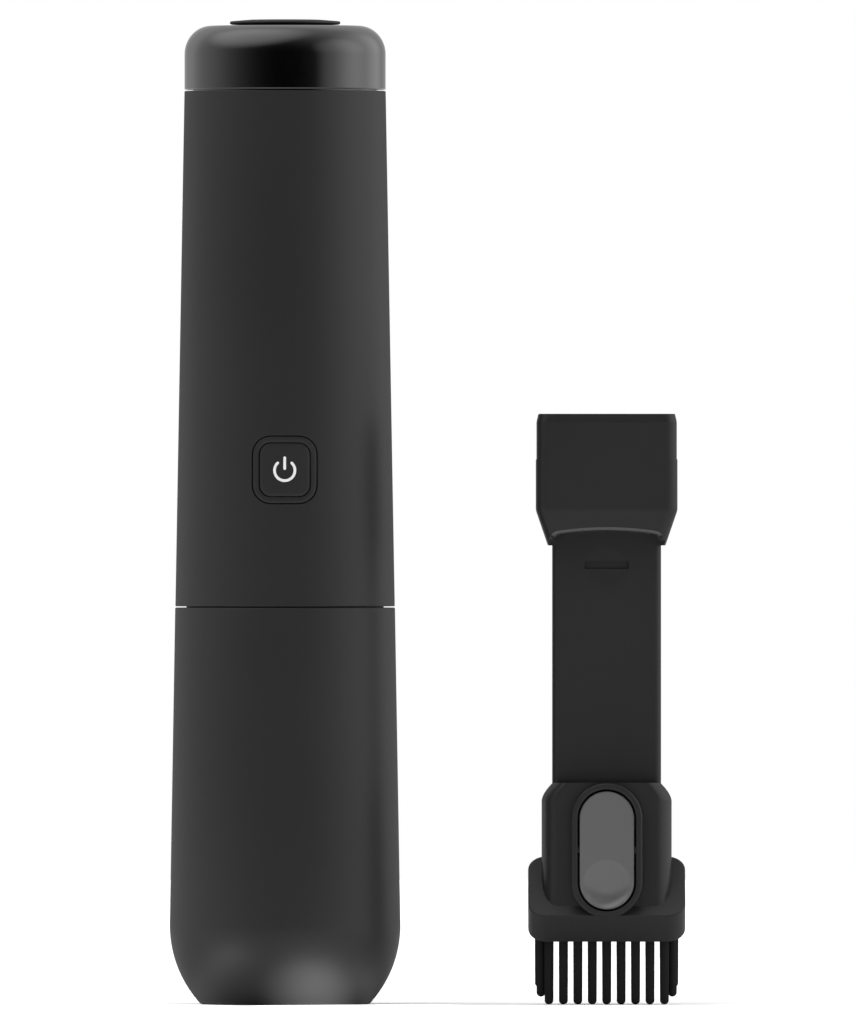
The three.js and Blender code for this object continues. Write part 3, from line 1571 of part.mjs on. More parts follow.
for (const [name, { places, keep }] of Object.entries(slices)) {
  const bristles = joined(places.map(([x, y]) => bristle(x, y))).intersect(belowStripRoot);
  piece(name, strip.intersect(keep).add(bristles), elastomer);
}

// Latch: a rocking button with a thumb dish, a sprung leaf with the tooth, and a coil spring.
const latchPlate = runBack(stadium(latchWidth, latchTall), -latchFront, latchBack, toolX, latchCentre);
const lug = block(
  [toolX - latchWidth / 2, latchBack - fitGap, latchCentre - lugHalfHeight],
  [toolX + latchWidth / 2, latchBack + lugDepth, latchCentre + lugHalfHeight],
);
const trunnions = rod(
  trunnionRadius,
  latchWidth + 2 * trunnionLength,
  smallSides,
  [toolX, -latchAxle, latchCentre],
  "x",
);
const thumbDish = dish(dishRadius, dishDepth, -latchFront, latchCentre - dishDrop);
piece(
  "latch_button",
  joined([latchPlate, lug, trunnions]).subtract(thumbDish),
  greyPlastic,
);
const leaf = block(
  [toolX - leafHalfWidth, leafFront, toothZ + toothHeight / 2 - leafLength],
  [toolX + leafHalfWidth, leafFront + leafThickness, toothZ + toothHeight / 2],
);
const tooth = block(
  [toolX - toothHalfWidth, leafFront, toothZ - toothHeight / 2],
  [toolX + toothHalfWidth, -tubeDepth / 2 + toothBite, toothZ + toothHeight / 2],
);
piece("latch_tooth", leaf.add(tooth), steel);

class Coil extends THREE.Curve {
  getPoint(t, target = new THREE.Vector3()) {
    const angle = turnShare(springTurns * t);
    const length = -latchPocketFloor - latchBack - 2 * fitGap - 2 * springWire;
    const y = latchBack + fitGap + springWire + length * t;
    return target.set(
      toolX + springRadius * Math.cos(angle),
      y,
      latchCentre - springDrop + springRadius * Math.sin(angle),
    );
  }
}
const wireOutline = Array.from({ length: springSides }, (_, i) => {
  const angle = turnShare(i / springSides);
  return new THREE.Vector2(springWire * Math.cos(angle), springWire * Math.sin(angle));
});
const springGeometry = new THREE.ExtrudeGeometry(new THREE.Shape(wireOutline), {
  steps: springTurns * springSteps,
  extrudePath: new Coil(),
});
piece("latch_spring", solid(springGeometry), steel);

export default nodes;
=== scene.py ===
"""Dresses a cordless handheld vacuum cleaner and the crevice tool that stands beside it.

The sections follow the object as it is put together: the studio, the cup on the floor, the
upper unit with its cap and button, what that unit holds inside, and last the crevice tool.
Sizes are in millimetres and are turned to metres where a mesh or a node takes them.
"""
from math import asin, cos, pi, radians, sin, sqrt

import bmesh
import bpy
from mathutils import Matrix, Vector


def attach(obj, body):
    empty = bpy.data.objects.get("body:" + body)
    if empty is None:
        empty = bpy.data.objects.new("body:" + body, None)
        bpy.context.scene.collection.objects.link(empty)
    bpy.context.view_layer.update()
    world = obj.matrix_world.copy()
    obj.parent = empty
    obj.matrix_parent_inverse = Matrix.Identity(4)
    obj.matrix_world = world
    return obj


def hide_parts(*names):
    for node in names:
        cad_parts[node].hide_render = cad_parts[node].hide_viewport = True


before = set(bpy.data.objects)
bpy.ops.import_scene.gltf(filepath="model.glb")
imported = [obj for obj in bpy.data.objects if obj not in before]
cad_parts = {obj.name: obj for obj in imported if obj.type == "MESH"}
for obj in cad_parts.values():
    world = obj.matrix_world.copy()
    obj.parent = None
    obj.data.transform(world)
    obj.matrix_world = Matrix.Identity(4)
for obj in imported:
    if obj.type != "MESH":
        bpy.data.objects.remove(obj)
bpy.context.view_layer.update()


# Studio
# A pale floor in soft light, which comes from both sides, from above and from the wall behind.
# The room is dark on the camera's side, as the glossy cap shows. The camera looks straight at
# the front from so far away that there is nearly no perspective.

image_height = 1026  # pixels
mm_per_pixel = 0.29488
lens = 1400
sensor = 36
aim_x = 0.164
aim_z = 144.87
camera_distance = image_height * mm_per_pixel * lens / sensor


def new_object(name, data):
    """Adds an object to the scene."""
    made = bpy.data.objects.new(name, data)
    bpy.context.scene.collection.objects.link(made)
    return made


camera = new_object("photo_camera", bpy.data.cameras.new("photo_camera"))
camera.data.lens = lens
camera.data.sensor_width = sensor
camera.data.clip_start = 0.1
camera.data.clip_end = 40
camera.location = (aim_x / 1000, -camera_distance / 1000, aim_z / 1000)
camera.rotation_euler = (radians(90), 0, 0)
bpy.context.scene.camera = camera
bpy.context.scene.view_settings.view_transform = "Standard"


def add(tree, kind, inputs=None, **settings):
    """Adds a node to a tree, with its settings, and with a value or a link for each input."""
    node = tree.nodes.new(kind)
    for name, value in settings.items():
        setattr(node, name, value)
    for name, value in (inputs or {}).items():
        if isinstance(value, bpy.types.NodeSocket):
            tree.links.new(value, node.inputs[name])
        else:
            node.inputs[name].default_value = value
    return node


def linear(hex_colour):
    """A hex colour as sRGB writes it, turned to the linear colour that a shader takes."""
    parts = [int(hex_colour[i:i + 2], 16) / 255 for i in (1, 3, 5)]
    return [p / 12.92 if p <= 0.04045 else ((p + 0.055) / 1.055) ** 2.4 for p in parts] + [1]


# The room's light by direction: it rises from the camera's side to the pale wall, and falls off
# again straight behind the object.
dark_side, pale_side, wall_level = -1.09, 0.17, 1.25
falloff_start, falloff_level = 0.6, 0.45
# Three soft boxes, one high on the left and two beside each other on the right. Each has its
# azimuth and elevation and the angle that it spreads over, in degrees, and its strength.
soft_boxes = ((-68, 62, 50, 2.1), (70, 15.5, 39.4, 1.23), (102, 15, 47, 1.1))
white = linear("#ffffff")
world = bpy.data.worlds.new("studio_room")
bpy.context.scene.world = world
world.use_nodes = True
room = world.node_tree
room.nodes.clear()
toward = add(room, "ShaderNodeTexCoord").outputs["Generated"]
axes = add(room, "ShaderNodeSeparateXYZ", {0: toward})
wall = add(room, "ShaderNodeMapRange", {
    "Value": axes.outputs["Y"], "From Min": dark_side, "From Max": pale_side,
    "To Min": 0.0, "To Max": wall_level}, interpolation_type="SMOOTHSTEP")
falloff = add(room, "ShaderNodeMapRange", {
    "Value": axes.outputs["Y"], "From Min": falloff_start, "From Max": 1.0,
    "To Min": 1.0, "To Max": falloff_level}, interpolation_type="SMOOTHSTEP")
level = add(room, "ShaderNodeMath", {0: wall.outputs[0], 1: falloff.outputs[0]},
            operation="MULTIPLY")
for azimuth, elevation, spread, strength in soft_boxes:
    turn, rise = radians(azimuth), radians(elevation)
    facing = add(room, "ShaderNodeVectorMath", {
        0: toward, 1: (cos(rise) * sin(turn), -cos(rise) * cos(turn), sin(rise))},
        operation="DOT_PRODUCT")
    box = add(room, "ShaderNodeMapRange", {
        "Value": facing.outputs["Value"], "From Min": cos(radians(spread)), "From Max": 1.0,
        "To Min": 0.0, "To Max": strength}, interpolation_type="SMOOTHSTEP")
    level = add(room, "ShaderNodeMath", {0: level.outputs[0], 1: box.outputs[0]},
                operation="ADD")
light = add(room, "ShaderNodeBackground", {"Color": white, "Strength": level.outputs[0]})
backdrop = add(room, "ShaderNodeBackground", {"Color": white, "Strength": 1.0})
path = add(room, "ShaderNodeLightPath")
seen = add(room, "ShaderNodeMath", {
    0: path.outputs["Is Camera Ray"], 1: path.outputs["Is Transmission Ray"]},
    operation="MAXIMUM")
mixed = add(room, "ShaderNodeMixShader", {
    0: seen.outputs[0], 1: light.outputs[0], 2: backdrop.outputs[0]})
add(room, "ShaderNodeOutputWorld", {"Surface": mixed.outputs[0]})


def new_material(name):
    """A material, its node tree, and the node output with the place of each point."""
    material = bpy.data.materials.new(name)
    material.use_nodes = True
    tree = material.node_tree
    tree.nodes.clear()
    return material, tree, add(tree, "ShaderNodeTexCoord").outputs["Object"]


def as_mesh(name, bm):
    """Turns a bmesh into a mesh, and frees it."""
    mesh = bpy.data.meshes.new(name)
    bm.to_mesh(mesh)
    bm.free()
    return mesh


# Opal acrylic board as the floor: white and matt, it keeps the object's shadow except where it
# glows.
# The board itself glows in four soft patches round the cleaner, with no lamp under it. This is
# painted
# light: it lights the cup's rounded foot, shows in it as soft highlights, and washes out the shadow
# near the foot. Each patch has its place in x and y, its reach and its strength.
glow_patches = ((-28.5, -36, 26, 6.8), (-90.5, -48, 38, 4.0), (-78, -16, 30, 0.9), (-6, -14, 22, 1.2))
floor_half = 4000
speckle_size = 2.5
speckle_depth = 0.2
floor_board, tree, place = new_material("opal_acrylic_board")
speckle = add(tree, "ShaderNodeTexNoise", {
    "Vector": place, "Scale": 1000 / speckle_size, "Detail": 3.0})
relief = add(tree, "ShaderNodeBump", {
    "Height": speckle.outputs[0], "Strength": 0.05, "Distance": speckle_depth / 1000})
paint = add(tree, "ShaderNodeBsdfDiffuse", {
    "Color": linear("#f6f6f6"), "Roughness": 0.8, "Normal": relief.outputs[0]})
glow = 0.0
for spot_x, spot_y, reach, strength in glow_patches:
    distance = add(tree, "ShaderNodeVectorMath", {
        0: place, 1: (spot_x / 1000, spot_y / 1000, 0)}, operation="DISTANCE")
    spot = add(tree, "ShaderNodeMapRange", {
        "Value": distance.outputs["Value"], "From Min": reach / 1000, "From Max": 0.0,
        "To Min": 0.0, "To Max": strength}, interpolation_type="SMOOTHSTEP")
    glow = add(tree, "ShaderNodeMath", {0: glow, 1: spot.outputs[0]}, operation="ADD").outputs[0]
# The patches' glow is painted light: the board itself is no lamp.
painted_glow = add(tree, "ShaderNodeEmission", {"Color": white, "Strength": glow})
both = add(tree, "ShaderNodeAddShader", {0: paint.outputs[0], 1: painted_glow.outputs[0]})
add(tree, "ShaderNodeOutputMaterial", {"Surface": both.outputs[0]})

bm = bmesh.new()
bmesh.ops.create_grid(bm, x_segments=4, y_segments=4, size=floor_half / 1000)
studio_floor = new_object("studio_floor", as_mesh("studio_floor", bm))
studio_floor.data.materials.append(floor_board)


# Dust cup
# A moulded ABS cup with a satin skin. Its foot is rounded and cut flat, the suction mouth opens
# through the flat, and a duct behind the mouth keeps the dust in. Two ears carry the flap's pin.

body_x = -41.975
cup_height = 117.0
casing_wall = 2.2
cup_top_radius = 32.41
foot_radius = 34.0
flat_radius = 24.8
foot_centre = sqrt(foot_radius ** 2 - flat_radius ** 2)
foot_chamfer = 0.5
foot_chamfer_turn = 0.012
cup_floor = 2.5
edge = 0.3
mouth_width = 41.9
mouth_depth = 26.6
mouth_corner = 3.8
duct_wall = 1.5
duct_top = 24.0
hinge_y = 16.7
hinge_z = 25.95
pin_hole_radius = 1.05
pin_hole_length = 10
ear_inner = 12.0
ear_outer = 15.0
shade_patch = 45


def shades(ramp, colour, factors):
    """Gives the two ends of a colour ramp a darker and a paler shade of a colour."""
    for end, factor in zip(ramp.elements, factors):
        end.color = [min(c * factor, 1) for c in linear(colour)[:3]] + [1]


def plastic(name, colour, roughness, grain, grain_depth, shade=0.06, extra=None):
    """A moulded plastic: fine grain from the mould's skin, and slow changes of shade and sheen.

    grain is the width of one grain in mm and grain_depth its height in mm. extra holds more
    inputs of the shader."""
    material, tree, place = new_material(name)
    flow = add(tree, "ShaderNodeTexNoise", {
        "Vector": place, "Scale": 1000 / shade_patch, "Detail": 2.0, "Roughness": 0.4})
    tone = add(tree, "ShaderNodeValToRGB", {"Fac": flow.outputs[0]})
    shades(tone.color_ramp, colour, (1 - shade, 1 + shade))
    tone.color_ramp.elements[0].position = 0.3
    tone.color_ramp.elements[1].position = 0.7
    skin = add(tree, "ShaderNodeTexNoise", {
        "Vector": place, "Scale": 1000 / grain, "Detail": 2.0, "Roughness": 0.5})
    sheen = add(tree, "ShaderNodeMapRange", {
        "Value": skin.outputs[0], "From Min": 0.3, "From Max": 0.7,
        "To Min": max(roughness - 0.03, 0), "To Max": roughness + 0.03})
    relief = add(tree, "ShaderNodeBump", {
        "Height": skin.outputs[0], "Strength": 1.0, "Distance": grain_depth / 1000})
    surface = add(tree, "ShaderNodeBsdfPrincipled", {
        "Base Color": tone.outputs[0], "Roughness": sheen.outputs[0], "IOR": 1.5,
        "Normal": relief.outputs[0], "Coat Normal": relief.outputs[0], **(extra or {})})
    add(tree, "ShaderNodeOutputMaterial", {"Surface": surface.outputs[0]})
    return material


def outline(width, depth, corner, along=1, round_steps=8):
    """Points round a rounded rectangle; along is how many steps each straight side is cut into."""
    points = []
    for quarter in range(4):
        middle_x = (width / 2 - corner) * (1 if quarter in (0, 3) else -1)
        middle_y = (depth / 2 - corner) * (1 if quarter in (0, 1) else -1)
        for step in range(round_steps + 1):
            angle = (quarter + step / round_steps) * pi / 2
            points.append((middle_x + corner * cos(angle), middle_y + corner * sin(angle)))
    filled = []
    for i, (x, y) in enumerate(points):
        filled.append((x, y))
        if i % (round_steps + 1) == round_steps:
            next_x, next_y = points[(i + 1) % len(points)]
            filled += [(x + (next_x - x) * k / along, y + (next_y - y) * k / along)
                       for k in range(1, along)]
    return filled


def loft(rings, closed=False):
    """A skin over rings of as many points each; the ends are capped, or joined if closed."""
    bm = bmesh.new()
    verts = [bm.verts.new(Vector(point) / 1000) for point in rings[0]]
    edges = [bm.edges.new(pair) for pair in zip(verts, verts[1:] + verts[:1])]
    if not closed:
        bmesh.ops.edgeloop_fill(bm, edges=edges)
    places = [vert.co.copy() for vert in verts]
    for ring in rings[1:] + ([rings[0]] if closed else []):
        grown = bmesh.ops.extrude_edge_only(bm, edges=edges)["geom"]
        edges = [item for item in grown if isinstance(item, bmesh.types.BMEdge)]
        at = {tuple(item.co): item for item in grown if isinstance(item, bmesh.types.BMVert)}
        verts = [at[tuple(old)] for old in places]
        for vert, point in zip(verts, ring):
            vert.co = Vector(point) / 1000
        places = [vert.co.copy() for vert in verts]
    if closed:
        bmesh.ops.remove_doubles(bm, verts=bm.verts, dist=1e-7)
    else:
        bmesh.ops.edgeloop_fill(bm, edges=edges)
    bmesh.ops.recalc_face_normals(bm, faces=bm.faces)
    return bm


def spun(profile, centre_x, steps=160, closed=False):
    """A profile of (radius, height) points, spun round the upright axis."""
    bm = bmesh.new()
    verts = [bm.verts.new(((centre_x + r) / 1000, 0, z / 1000)) for r, z in profile]
    edges = [bm.edges.new(pair) for pair in zip(verts, verts[1:])]
    if closed:
        edges.append(bm.edges.new((verts[-1], verts[0])))
    bmesh.ops.spin(bm, geom=verts + edges, cent=(centre_x / 1000, 0, 0), axis=(0, 0, 1),
                   angle=2 * pi, steps=steps, use_merge=True)
    bmesh.ops.remove_doubles(bm, verts=bm.verts, dist=1e-6)
    bmesh.ops.recalc_face_normals(bm, faces=bm.faces)
    return bm


def bar(radius, length, centre, upright=False):
    """A round bar about a centre, along X or upright."""
    bm = bmesh.new()
    turned = Matrix.Identity(4) if upright else Matrix.Rotation(pi / 2, 4, "Y")
    bmesh.ops.create_cone(bm, cap_ends=True, segments=32, radius1=radius / 1000,
                          radius2=radius / 1000, depth=length / 1000,
                          matrix=Matrix.Translation([c / 1000 for c in centre]) @ turned)
    return bm


def carve(bm, cutter, operation="DIFFERENCE"):
    """Cuts one mesh with another, or joins them, and gives back the result."""
    work, tool = [new_object("carving", as_mesh("carving", shape)) for shape in (bm, cutter)]
    change = work.modifiers.new("carve", "BOOLEAN")
    change.operation = operation
    change.object = tool
    change.solver = "EXACT"
    result = bmesh.new()
    result.from_object(work, bpy.context.evaluated_depsgraph_get())
    for thing in (work, tool):
        mesh = thing.data
        bpy.data.objects.remove(thing)
        bpy.data.meshes.remove(mesh)
    return result


def arc(centre, radii, start, end, steps):
    """Points along an ellipse, from one angle to another."""
    angles = [start + (end - start) * i / steps for i in range(steps + 1)]
    return [(centre[0] + radii[0] * cos(a), centre[1] + radii[1] * sin(a)) for a in angles]


def piece(name, bm, material, body, nodes, sharp=32, even=False):
    """Turns a mesh into a finished piece that rides on a body and stands for CAD nodes."""
    bmesh.ops.remove_doubles(bm, verts=bm.verts, dist=1e-6)
    made = new_object(name, as_mesh(name, bm))
    for face in made.data.polygons:
        face.use_smooth = True
    made.data.set_sharp_from_angle(angle=radians(sharp))
    made.data.materials.append(material)
    if even:
        made.modifiers.new("even_shading", "WEIGHTED_NORMAL").keep_sharp = True
    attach(made, body)
    if nodes:
        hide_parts(*nodes)


def cup_radius(z):
    """The cup's outer radius at a height above its rounded foot."""
    gain = (cup_top_radius - foot_radius) * (z - foot_centre)
    return foot_radius + gain / (cup_height - foot_centre)


# Black ABS under a thin satin lacquer: a matt body colour with a weak, soft-edged reflection.
satin = {"Specular IOR Level": 0.0, "Coat Weight": 0.32, "Coat Roughness": 0.4, "Coat IOR": 1.5}
satin_abs = plastic("satin_moulded_abs", "#212121", 0.6, 0.5, 0.0012, extra=satin)

inner_radius = foot_radius - casing_wall
rim_z = cup_height - edge
foot_start = asin(-foot_centre / foot_radius) + foot_chamfer_turn
floor_end = asin((cup_floor - foot_centre) / inner_radius)
profile = [(0, 0), (flat_radius - foot_chamfer, 0)]
profile += arc((0, foot_centre), (foot_radius, foot_radius), foot_start, 0, 26)
profile += [(cup_radius(z), z) for z in (40, 60, 80, 100, rim_z)]
profile += arc((cup_radius(cup_height) - edge, rim_z), (edge, edge), pi / 8, pi / 2, 4)
profile += arc((cup_radius(cup_height) - casing_wall + edge, rim_z), (edge, edge), pi / 2, pi, 4)
profile += [(cup_radius(foot_centre) - casing_wall, foot_centre)]
profile += arc((0, foot_centre), (inner_radius, inner_radius), 0, floor_end, 14)
profile += [(0, cup_floor)]
cup = spun(profile, body_x)


def mouth_ring(z, flare):
    """The outline of the suction mouth at a height, wider by flare all round."""
    points = outline(mouth_width + 2 * flare, mouth_depth + 2 * flare, mouth_corner + flare)
    return [(body_x + x, y, z) for x, y in points]


duct = loft([mouth_ring(z, duct_wall - inset) for z, inset in (
    (cup_floor / 2, 0), (duct_top - edge, 0), (duct_top, edge))])
cup = carve(cup, duct, "UNION")
ear_outline = [(14.05, 18), (19.1, 18), (19.4, 18.3), (19.4, 28.1), (18.9, 28.6), (15.4, 28.6),
               (15.1, 28.3), (15.1, 23.9), (14.05, 23.9)]
for side in (-1, 1):
    ear = loft([[(body_x + side * x, y, z) for y, z in ear_outline]
                for x in (ear_inner, ear_outer)])
    cup = carve(cup, ear, "UNION")
    ear_middle = side * (ear_inner + ear_outer) / 2
    cup = carve(cup, bar(pin_hole_radius, pin_hole_length, (body_x + ear_middle, hinge_y, hinge_z)))
cup = carve(cup, loft([mouth_ring(z, flare) for z, flare in (
    (-1.0, 0.8), (0.0, 0.8), (0.1, 0.45), (0.35, 0.17), (0.8, 0.0), (duct_top + 2, 0.0))]))
piece("cup_shell", cup, satin_abs, "cup", ["dust_cup"], even=True)


# Flap valve and its pin
# A lid of soft black rubber that lies on the duct's rim and lets dust in but not out. It turns on
# a drawn steel pin between the cup's ears. Both keep their CAD shape.

def rubbery(name, colour, roughness, speck, speck_depth=0.02):
    """Moulded rubber: dull, with a powdery bloom in patches. speck is the bloom's size in mm."""
    material, tree, place = new_material(name)
    bloom = add(tree, "ShaderNodeTexNoise", {
        "Vector": place, "Scale": 1000 / speck, "Detail": 4.0, "Roughness": 0.6})
    tone = add(tree, "ShaderNodeValToRGB", {"Fac": bloom.outputs[0]})
    shades(tone.color_ramp, colour, (0.8, 1.35))
    relief = add(tree, "ShaderNodeBump", {
        "Height": bloom.outputs[0], "Strength": 0.6, "Distance": speck_depth / 1000})
    surface = add(tree, "ShaderNodeBsdfPrincipled", {
        "Base Color": tone.outputs[0], "Roughness": roughness, "IOR": 1.52,
        "Specular IOR Level": 0.35, "Normal": relief.outputs[0]})
    add(tree, "ShaderNodeOutputMaterial", {"Surface": surface.outputs[0]})
    return material


def metal(name, colour, roughness, line, stretch, line_depth=0.004):
    """A bare metal with drawing or turning lines. line is their spacing in mm."""
    material, tree, place = new_material(name)
    drawn = add(tree, "ShaderNodeMapping", {"Vector": place, "Scale": stretch})
    lines = add(tree, "ShaderNodeTexNoise", {
        "Vector": drawn.outputs[0], "Scale": 1000 / line, "Detail": 2.0})
    sheen = add(tree, "ShaderNodeMapRange", {
        "Value": lines.outputs[0], "From Min": 0.3, "From Max": 0.7,
        "To Min": roughness - 0.06, "To Max": roughness + 0.08})
    relief = add(tree, "ShaderNodeBump", {
        "Height": lines.outputs[0], "Strength": 0.5, "Distance": line_depth / 1000})
    surface = add(tree, "ShaderNodeBsdfPrincipled", {
        "Base Color": linear(colour), "Metallic": 1.0, "Roughness": sheen.outputs[0],
        "Normal": relief.outputs[0]})
    add(tree, "ShaderNodeOutputMaterial", {"Surface": surface.outputs[0]})
    return material


def dress(material, *nodes):
    """Gives CAD nodes that stay in sight their real material."""
    for name in nodes:
        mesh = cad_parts[name].data
        mesh.materials.clear()
        mesh.materials.append(material)


# Nitrile rubber, moulded: nearly black, and it hardly shines.
nitrile = rubbery("moulded_nitrile_rubber", "#202020", 0.8, 1.2)
# Drawn stainless steel wire: lines along the wire stretch its highlights.
drawn_steel = metal("drawn_stainless_steel", "#b8bcc2", 0.3, 0.3, (1.0, 1.0, 0.1))
dress(nitrile, "flap_valve")
dress(drawn_steel, "flap_pin")


# Upper housing
# The long tapered shell of the same satin ABS. It is slotted at the back for the exhaust air,
# has a small window for the charging port above the slots, and a seat for the button's bezel.

seam = 0.35
housing_bottom = cup_height + seam
housing_top = 269.3
low_radius = 32.35
high_radius = 29.68
button_z = 157.55
# The size of a rounded rectangle is its width, its height and its corner radius.
bezel_size = (18.7, 19.6, 5.3)
bezel_groove = 0.3
seat_back = -22
behind_y = 40
slot_inside_y = 15
slot_count = 6
slot_low = 144.35
slot_pitch = 4.0
slot_width = 24
slot_height = 1.6
port_z = 220.15
port_size = (9.74, 4.06, 2.0)
port_inside_y = 21.2


def housing_radius(z):
    """The housing's outer radius at a height."""
    share = (z - housing_bottom) / (housing_top - housing_bottom)
    return low_radius + (high_radius - low_radius) * share


profile = arc((low_radius - edge, housing_bottom + edge), (edge, edge), -pi / 2, 0, 4)
profile += [(housing_radius(z), z) for z in (140, 170, 200, 230, 250)]
profile += arc((high_radius - edge, housing_top - edge), (edge, edge), 0, pi / 2, 4)
profile += [(high_radius - casing_wall, housing_top), (low_radius - casing_wall, housing_bottom)]
housing = spun(profile, body_x, closed=True)


def along_y(points, y_from, y_to, centre_x, centre_z):
    """A straight prism along Y over an outline in X and Z."""
    return loft([[(centre_x + x, y, centre_z + z) for x, z in points] for y in (y_from, y_to)])


def on_face(x, z, depth):
    """A point of the curved front round the button, sunk by depth."""
    radius = housing_radius(button_z + z) - depth
    return (body_x + x, -sqrt(radius ** 2 - x * x), button_z + z)


def face_ring(size, inset, depth=None, y=None):
    """A rounded rectangle sunk into the curved front, or on a flat plane at y."""
    width, tall, corner = size
    points = outline(width - 2 * inset, tall - 2 * inset, max(corner - inset, 0.02), along=8)
    if y is None:
        return [on_face(x, z, depth) for x, z in points]
    return [(body_x + x, y, button_z + z) for x, z in points]


seat = [face_ring(bezel_size, -bezel_groove - flare, depth) for flare, depth in (
    (0.2, -2.0), (0.2, 0.0), (0.09, 0.04), (0.02, 0.12), (0, 0.3))]
seat.append(face_ring(bezel_size, -bezel_groove, y=seat_back))
housing = carve(housing, loft(seat))
# The corner radius stays just under half the height, so that no two points fall together.
slot = outline(slot_width, slot_height, slot_height / 2 - 0.001, round_steps=6)
for row in range(slot_count):
    housing = carve(housing, along_y(slot, slot_inside_y, behind_y, body_x,
                                     slot_low + row * slot_pitch))
housing = carve(housing, along_y(outline(*port_size), port_inside_y, behind_y, body_x, port_z))
piece("housing_shell", housing, satin_abs, "motor_unit", ["upper_housing"],
      even=True)


# Screw columns
# Three hollow columns, moulded with the housing and standing inside it. The screws of the motor
# base turn into them.

screw_circle = 22.5
screw_places = [(body_x + screw_circle * cos(2 * pi * turn), screw_circle * sin(2 * pi * turn))
                for turn in (1 / 4, 7 / 12, 11 / 12)]
column_radius = 2.9
column_bore = 1.5
column_bottom = 106.8
column_top = 137.8


def merge(bm, other):
    """Adds another mesh to this one and leaves both surfaces whole."""
    mesh = as_mesh("merging", other)
    bm.from_mesh(mesh)
    bpy.data.meshes.remove(mesh)


columns = bmesh.new()
for x, y in screw_places:
    column = spun([(column_bore, column_bottom), (column_radius, column_bottom),
                   (column_radius, column_top), (column_bore, column_top)],
                  0, steps=32, closed=True)
    bmesh.ops.translate(column, verts=column.verts, vec=(x / 1000, y / 1000, 0))
    merge(columns, column)
piece("housing_columns", columns, satin_abs, "motor_unit", [])


# Gloss cap
# Injection-moulded ABS, polished in the mould like piano lacquer. Its skirt plugs into the
# housing, its side goes straight up and its edge rounds over to a flat top.

cap_bottom = 269.6
cap_top = 288.55
cap_radius = 29.66
cap_flat = 21.8
cap_straight = 280.1
skirt_radius = 27.18
skirt_bottom = 260.5
pad_hole_radius = 6.3
pad_hole_depth = 1.25

# Polished black ABS: a mirror-smooth black skin, so it shows the room and no colour of its own.
piano_abs = plastic("polished_black_abs", "#030303", 0.06, 3.0, 0.0001, shade=0.02)

shoulder = (cap_radius - cap_flat, cap_top - cap_straight)
inner_shoulder = (shoulder[0] - casing_wall, shoulder[1] - casing_wall)
profile = [(0, cap_top - casing_wall), (cap_flat, cap_top - casing_wall)]
profile += arc((cap_flat, cap_straight), inner_shoulder, pi / 2, 0, 10)
profile += [(skirt_radius - casing_wall, cap_bottom + casing_wall),
            (skirt_radius - casing_wall, skirt_bottom),
            (skirt_radius, skirt_bottom), (skirt_radius, cap_bottom)]
profile += arc((cap_radius - edge, cap_bottom + edge), (edge, edge), -pi / 2, 0, 4)
profile += [(cap_radius, cap_bottom + 0.6), (cap_radius, cap_straight - 0.4)]
profile += arc((cap_flat, cap_straight), shoulder, 0, pi / 2, 28)
profile += [(14, cap_top), (pad_hole_radius + 0.1, cap_top), (pad_hole_radius, cap_top - 0.1),
            (pad_hole_radius, cap_top - pad_hole_depth), (0, cap_top - pad_hole_depth)]
piece("cap_shell", spun(profile, body_x), piano_abs, "motor_unit", ["top_cap"],
      sharp=40, even=True)


# Pad on the cap
# A low disc of matt moulded plastic, undercut all round, with a stub that sits in the cap. Its
# top slopes gently from a flat middle to a rounded rim.

pad_bottom = cap_top + 0.3
pad_top = 290.35
pad_radius = 16.3
pad_flat = 9.8
pad_foot = 15.6
pad_stub_radius = 6.0
pad_stub_depth = 0.95
pad_rim = 0.5
profile = [(0, cap_top - pad_stub_depth), (pad_stub_radius, cap_top - pad_stub_depth),
           (pad_stub_radius, pad_bottom), (pad_foot, pad_bottom)]
profile += arc((pad_radius - pad_rim, pad_bottom + 0.55), (pad_rim, pad_rim), -pi / 3, pi / 2.6, 8)
profile += [(13.0, pad_top - 0.24), (pad_flat + 0.6, pad_top - 0.03), (pad_flat - 0.6, pad_top),
            (0, pad_top)]
piece("pad_disc", spun(profile, body_x), satin_abs, "motor_unit", ["top_disc"],
      sharp=40)


# Bezel and power button
# The bezel is a frame of satin ABS snapped in from inside, flush with the curve. The button
# slides in it on a dark gap, and carries a pad-printed white power sign.

opening = 1.75
bezel_flange = 1.1
flange_front = -27.02
flange_back = -25.52
frame_depth = 1.6
rings = [face_ring(bezel_size, inset, depth) for inset, depth in (
    (0, frame_depth), (0, 0.4), (0.02, 0.17), (0.08, 0.05), (0.2, 0.0), (0.7, 0.0),
    (opening - 0.2, 0.0), (opening - 0.08, 0.05), (opening - 0.02, 0.17), (opening, 0.4),
    (opening, frame_depth))]
rings += [face_ring(bezel_size, inset, y=y) for inset, y in (
    (opening, flange_back), (-bezel_flange, flange_back), (-bezel_flange, flange_front),
    (0, flange_front))]
piece("bezel_frame", loft(rings, closed=True), satin_abs, "motor_unit", ["button_bezel"],
      sharp=50)

button_size = (14.7, 15.62, 3.4)
button_wall = 1.2
button_hollow = -29.0
button_flange = 1.5
button_back = -24.22
button_flange_front = -25.22
rings = [face_ring(button_size, inset, y=y) for inset, y in (
    (button_wall, button_hollow), (button_wall, button_back), (-button_flange, button_back),
    (-button_flange, button_flange_front), (0, button_flange_front))]
rings += [face_ring(button_size, inset, depth) for inset, depth in (
    (0, frame_depth), (0, 0.4), (0.03, 0.17), (0.09, 0.06), (0.22, 0.0))]
# More rings inside let the button's front follow the housing's curve.
rings += [face_ring(button_size, inset, 0.0) for inset in (1.0, 2.0, 3.0, 4.2, 5.4, 6.4, 7.2)]
piece("button_cap", loft(rings), satin_abs, "button", ["power_button"], sharp=50)

# Pad-printing ink: a thin matt white film over the plastic's skin.
white_ink = plastic("white_pad_printing_ink", "#d6d6d6", 0.6, 0.4, 0.0006, shade=0.03)
ink_height = 0.015
ring_radius = 3.0
half_stroke = 0.4
ring_z = -0.15
half_gap = radians(43.6)
bar_low = 0.0
bar_high = 3.95
bm = bmesh.new()


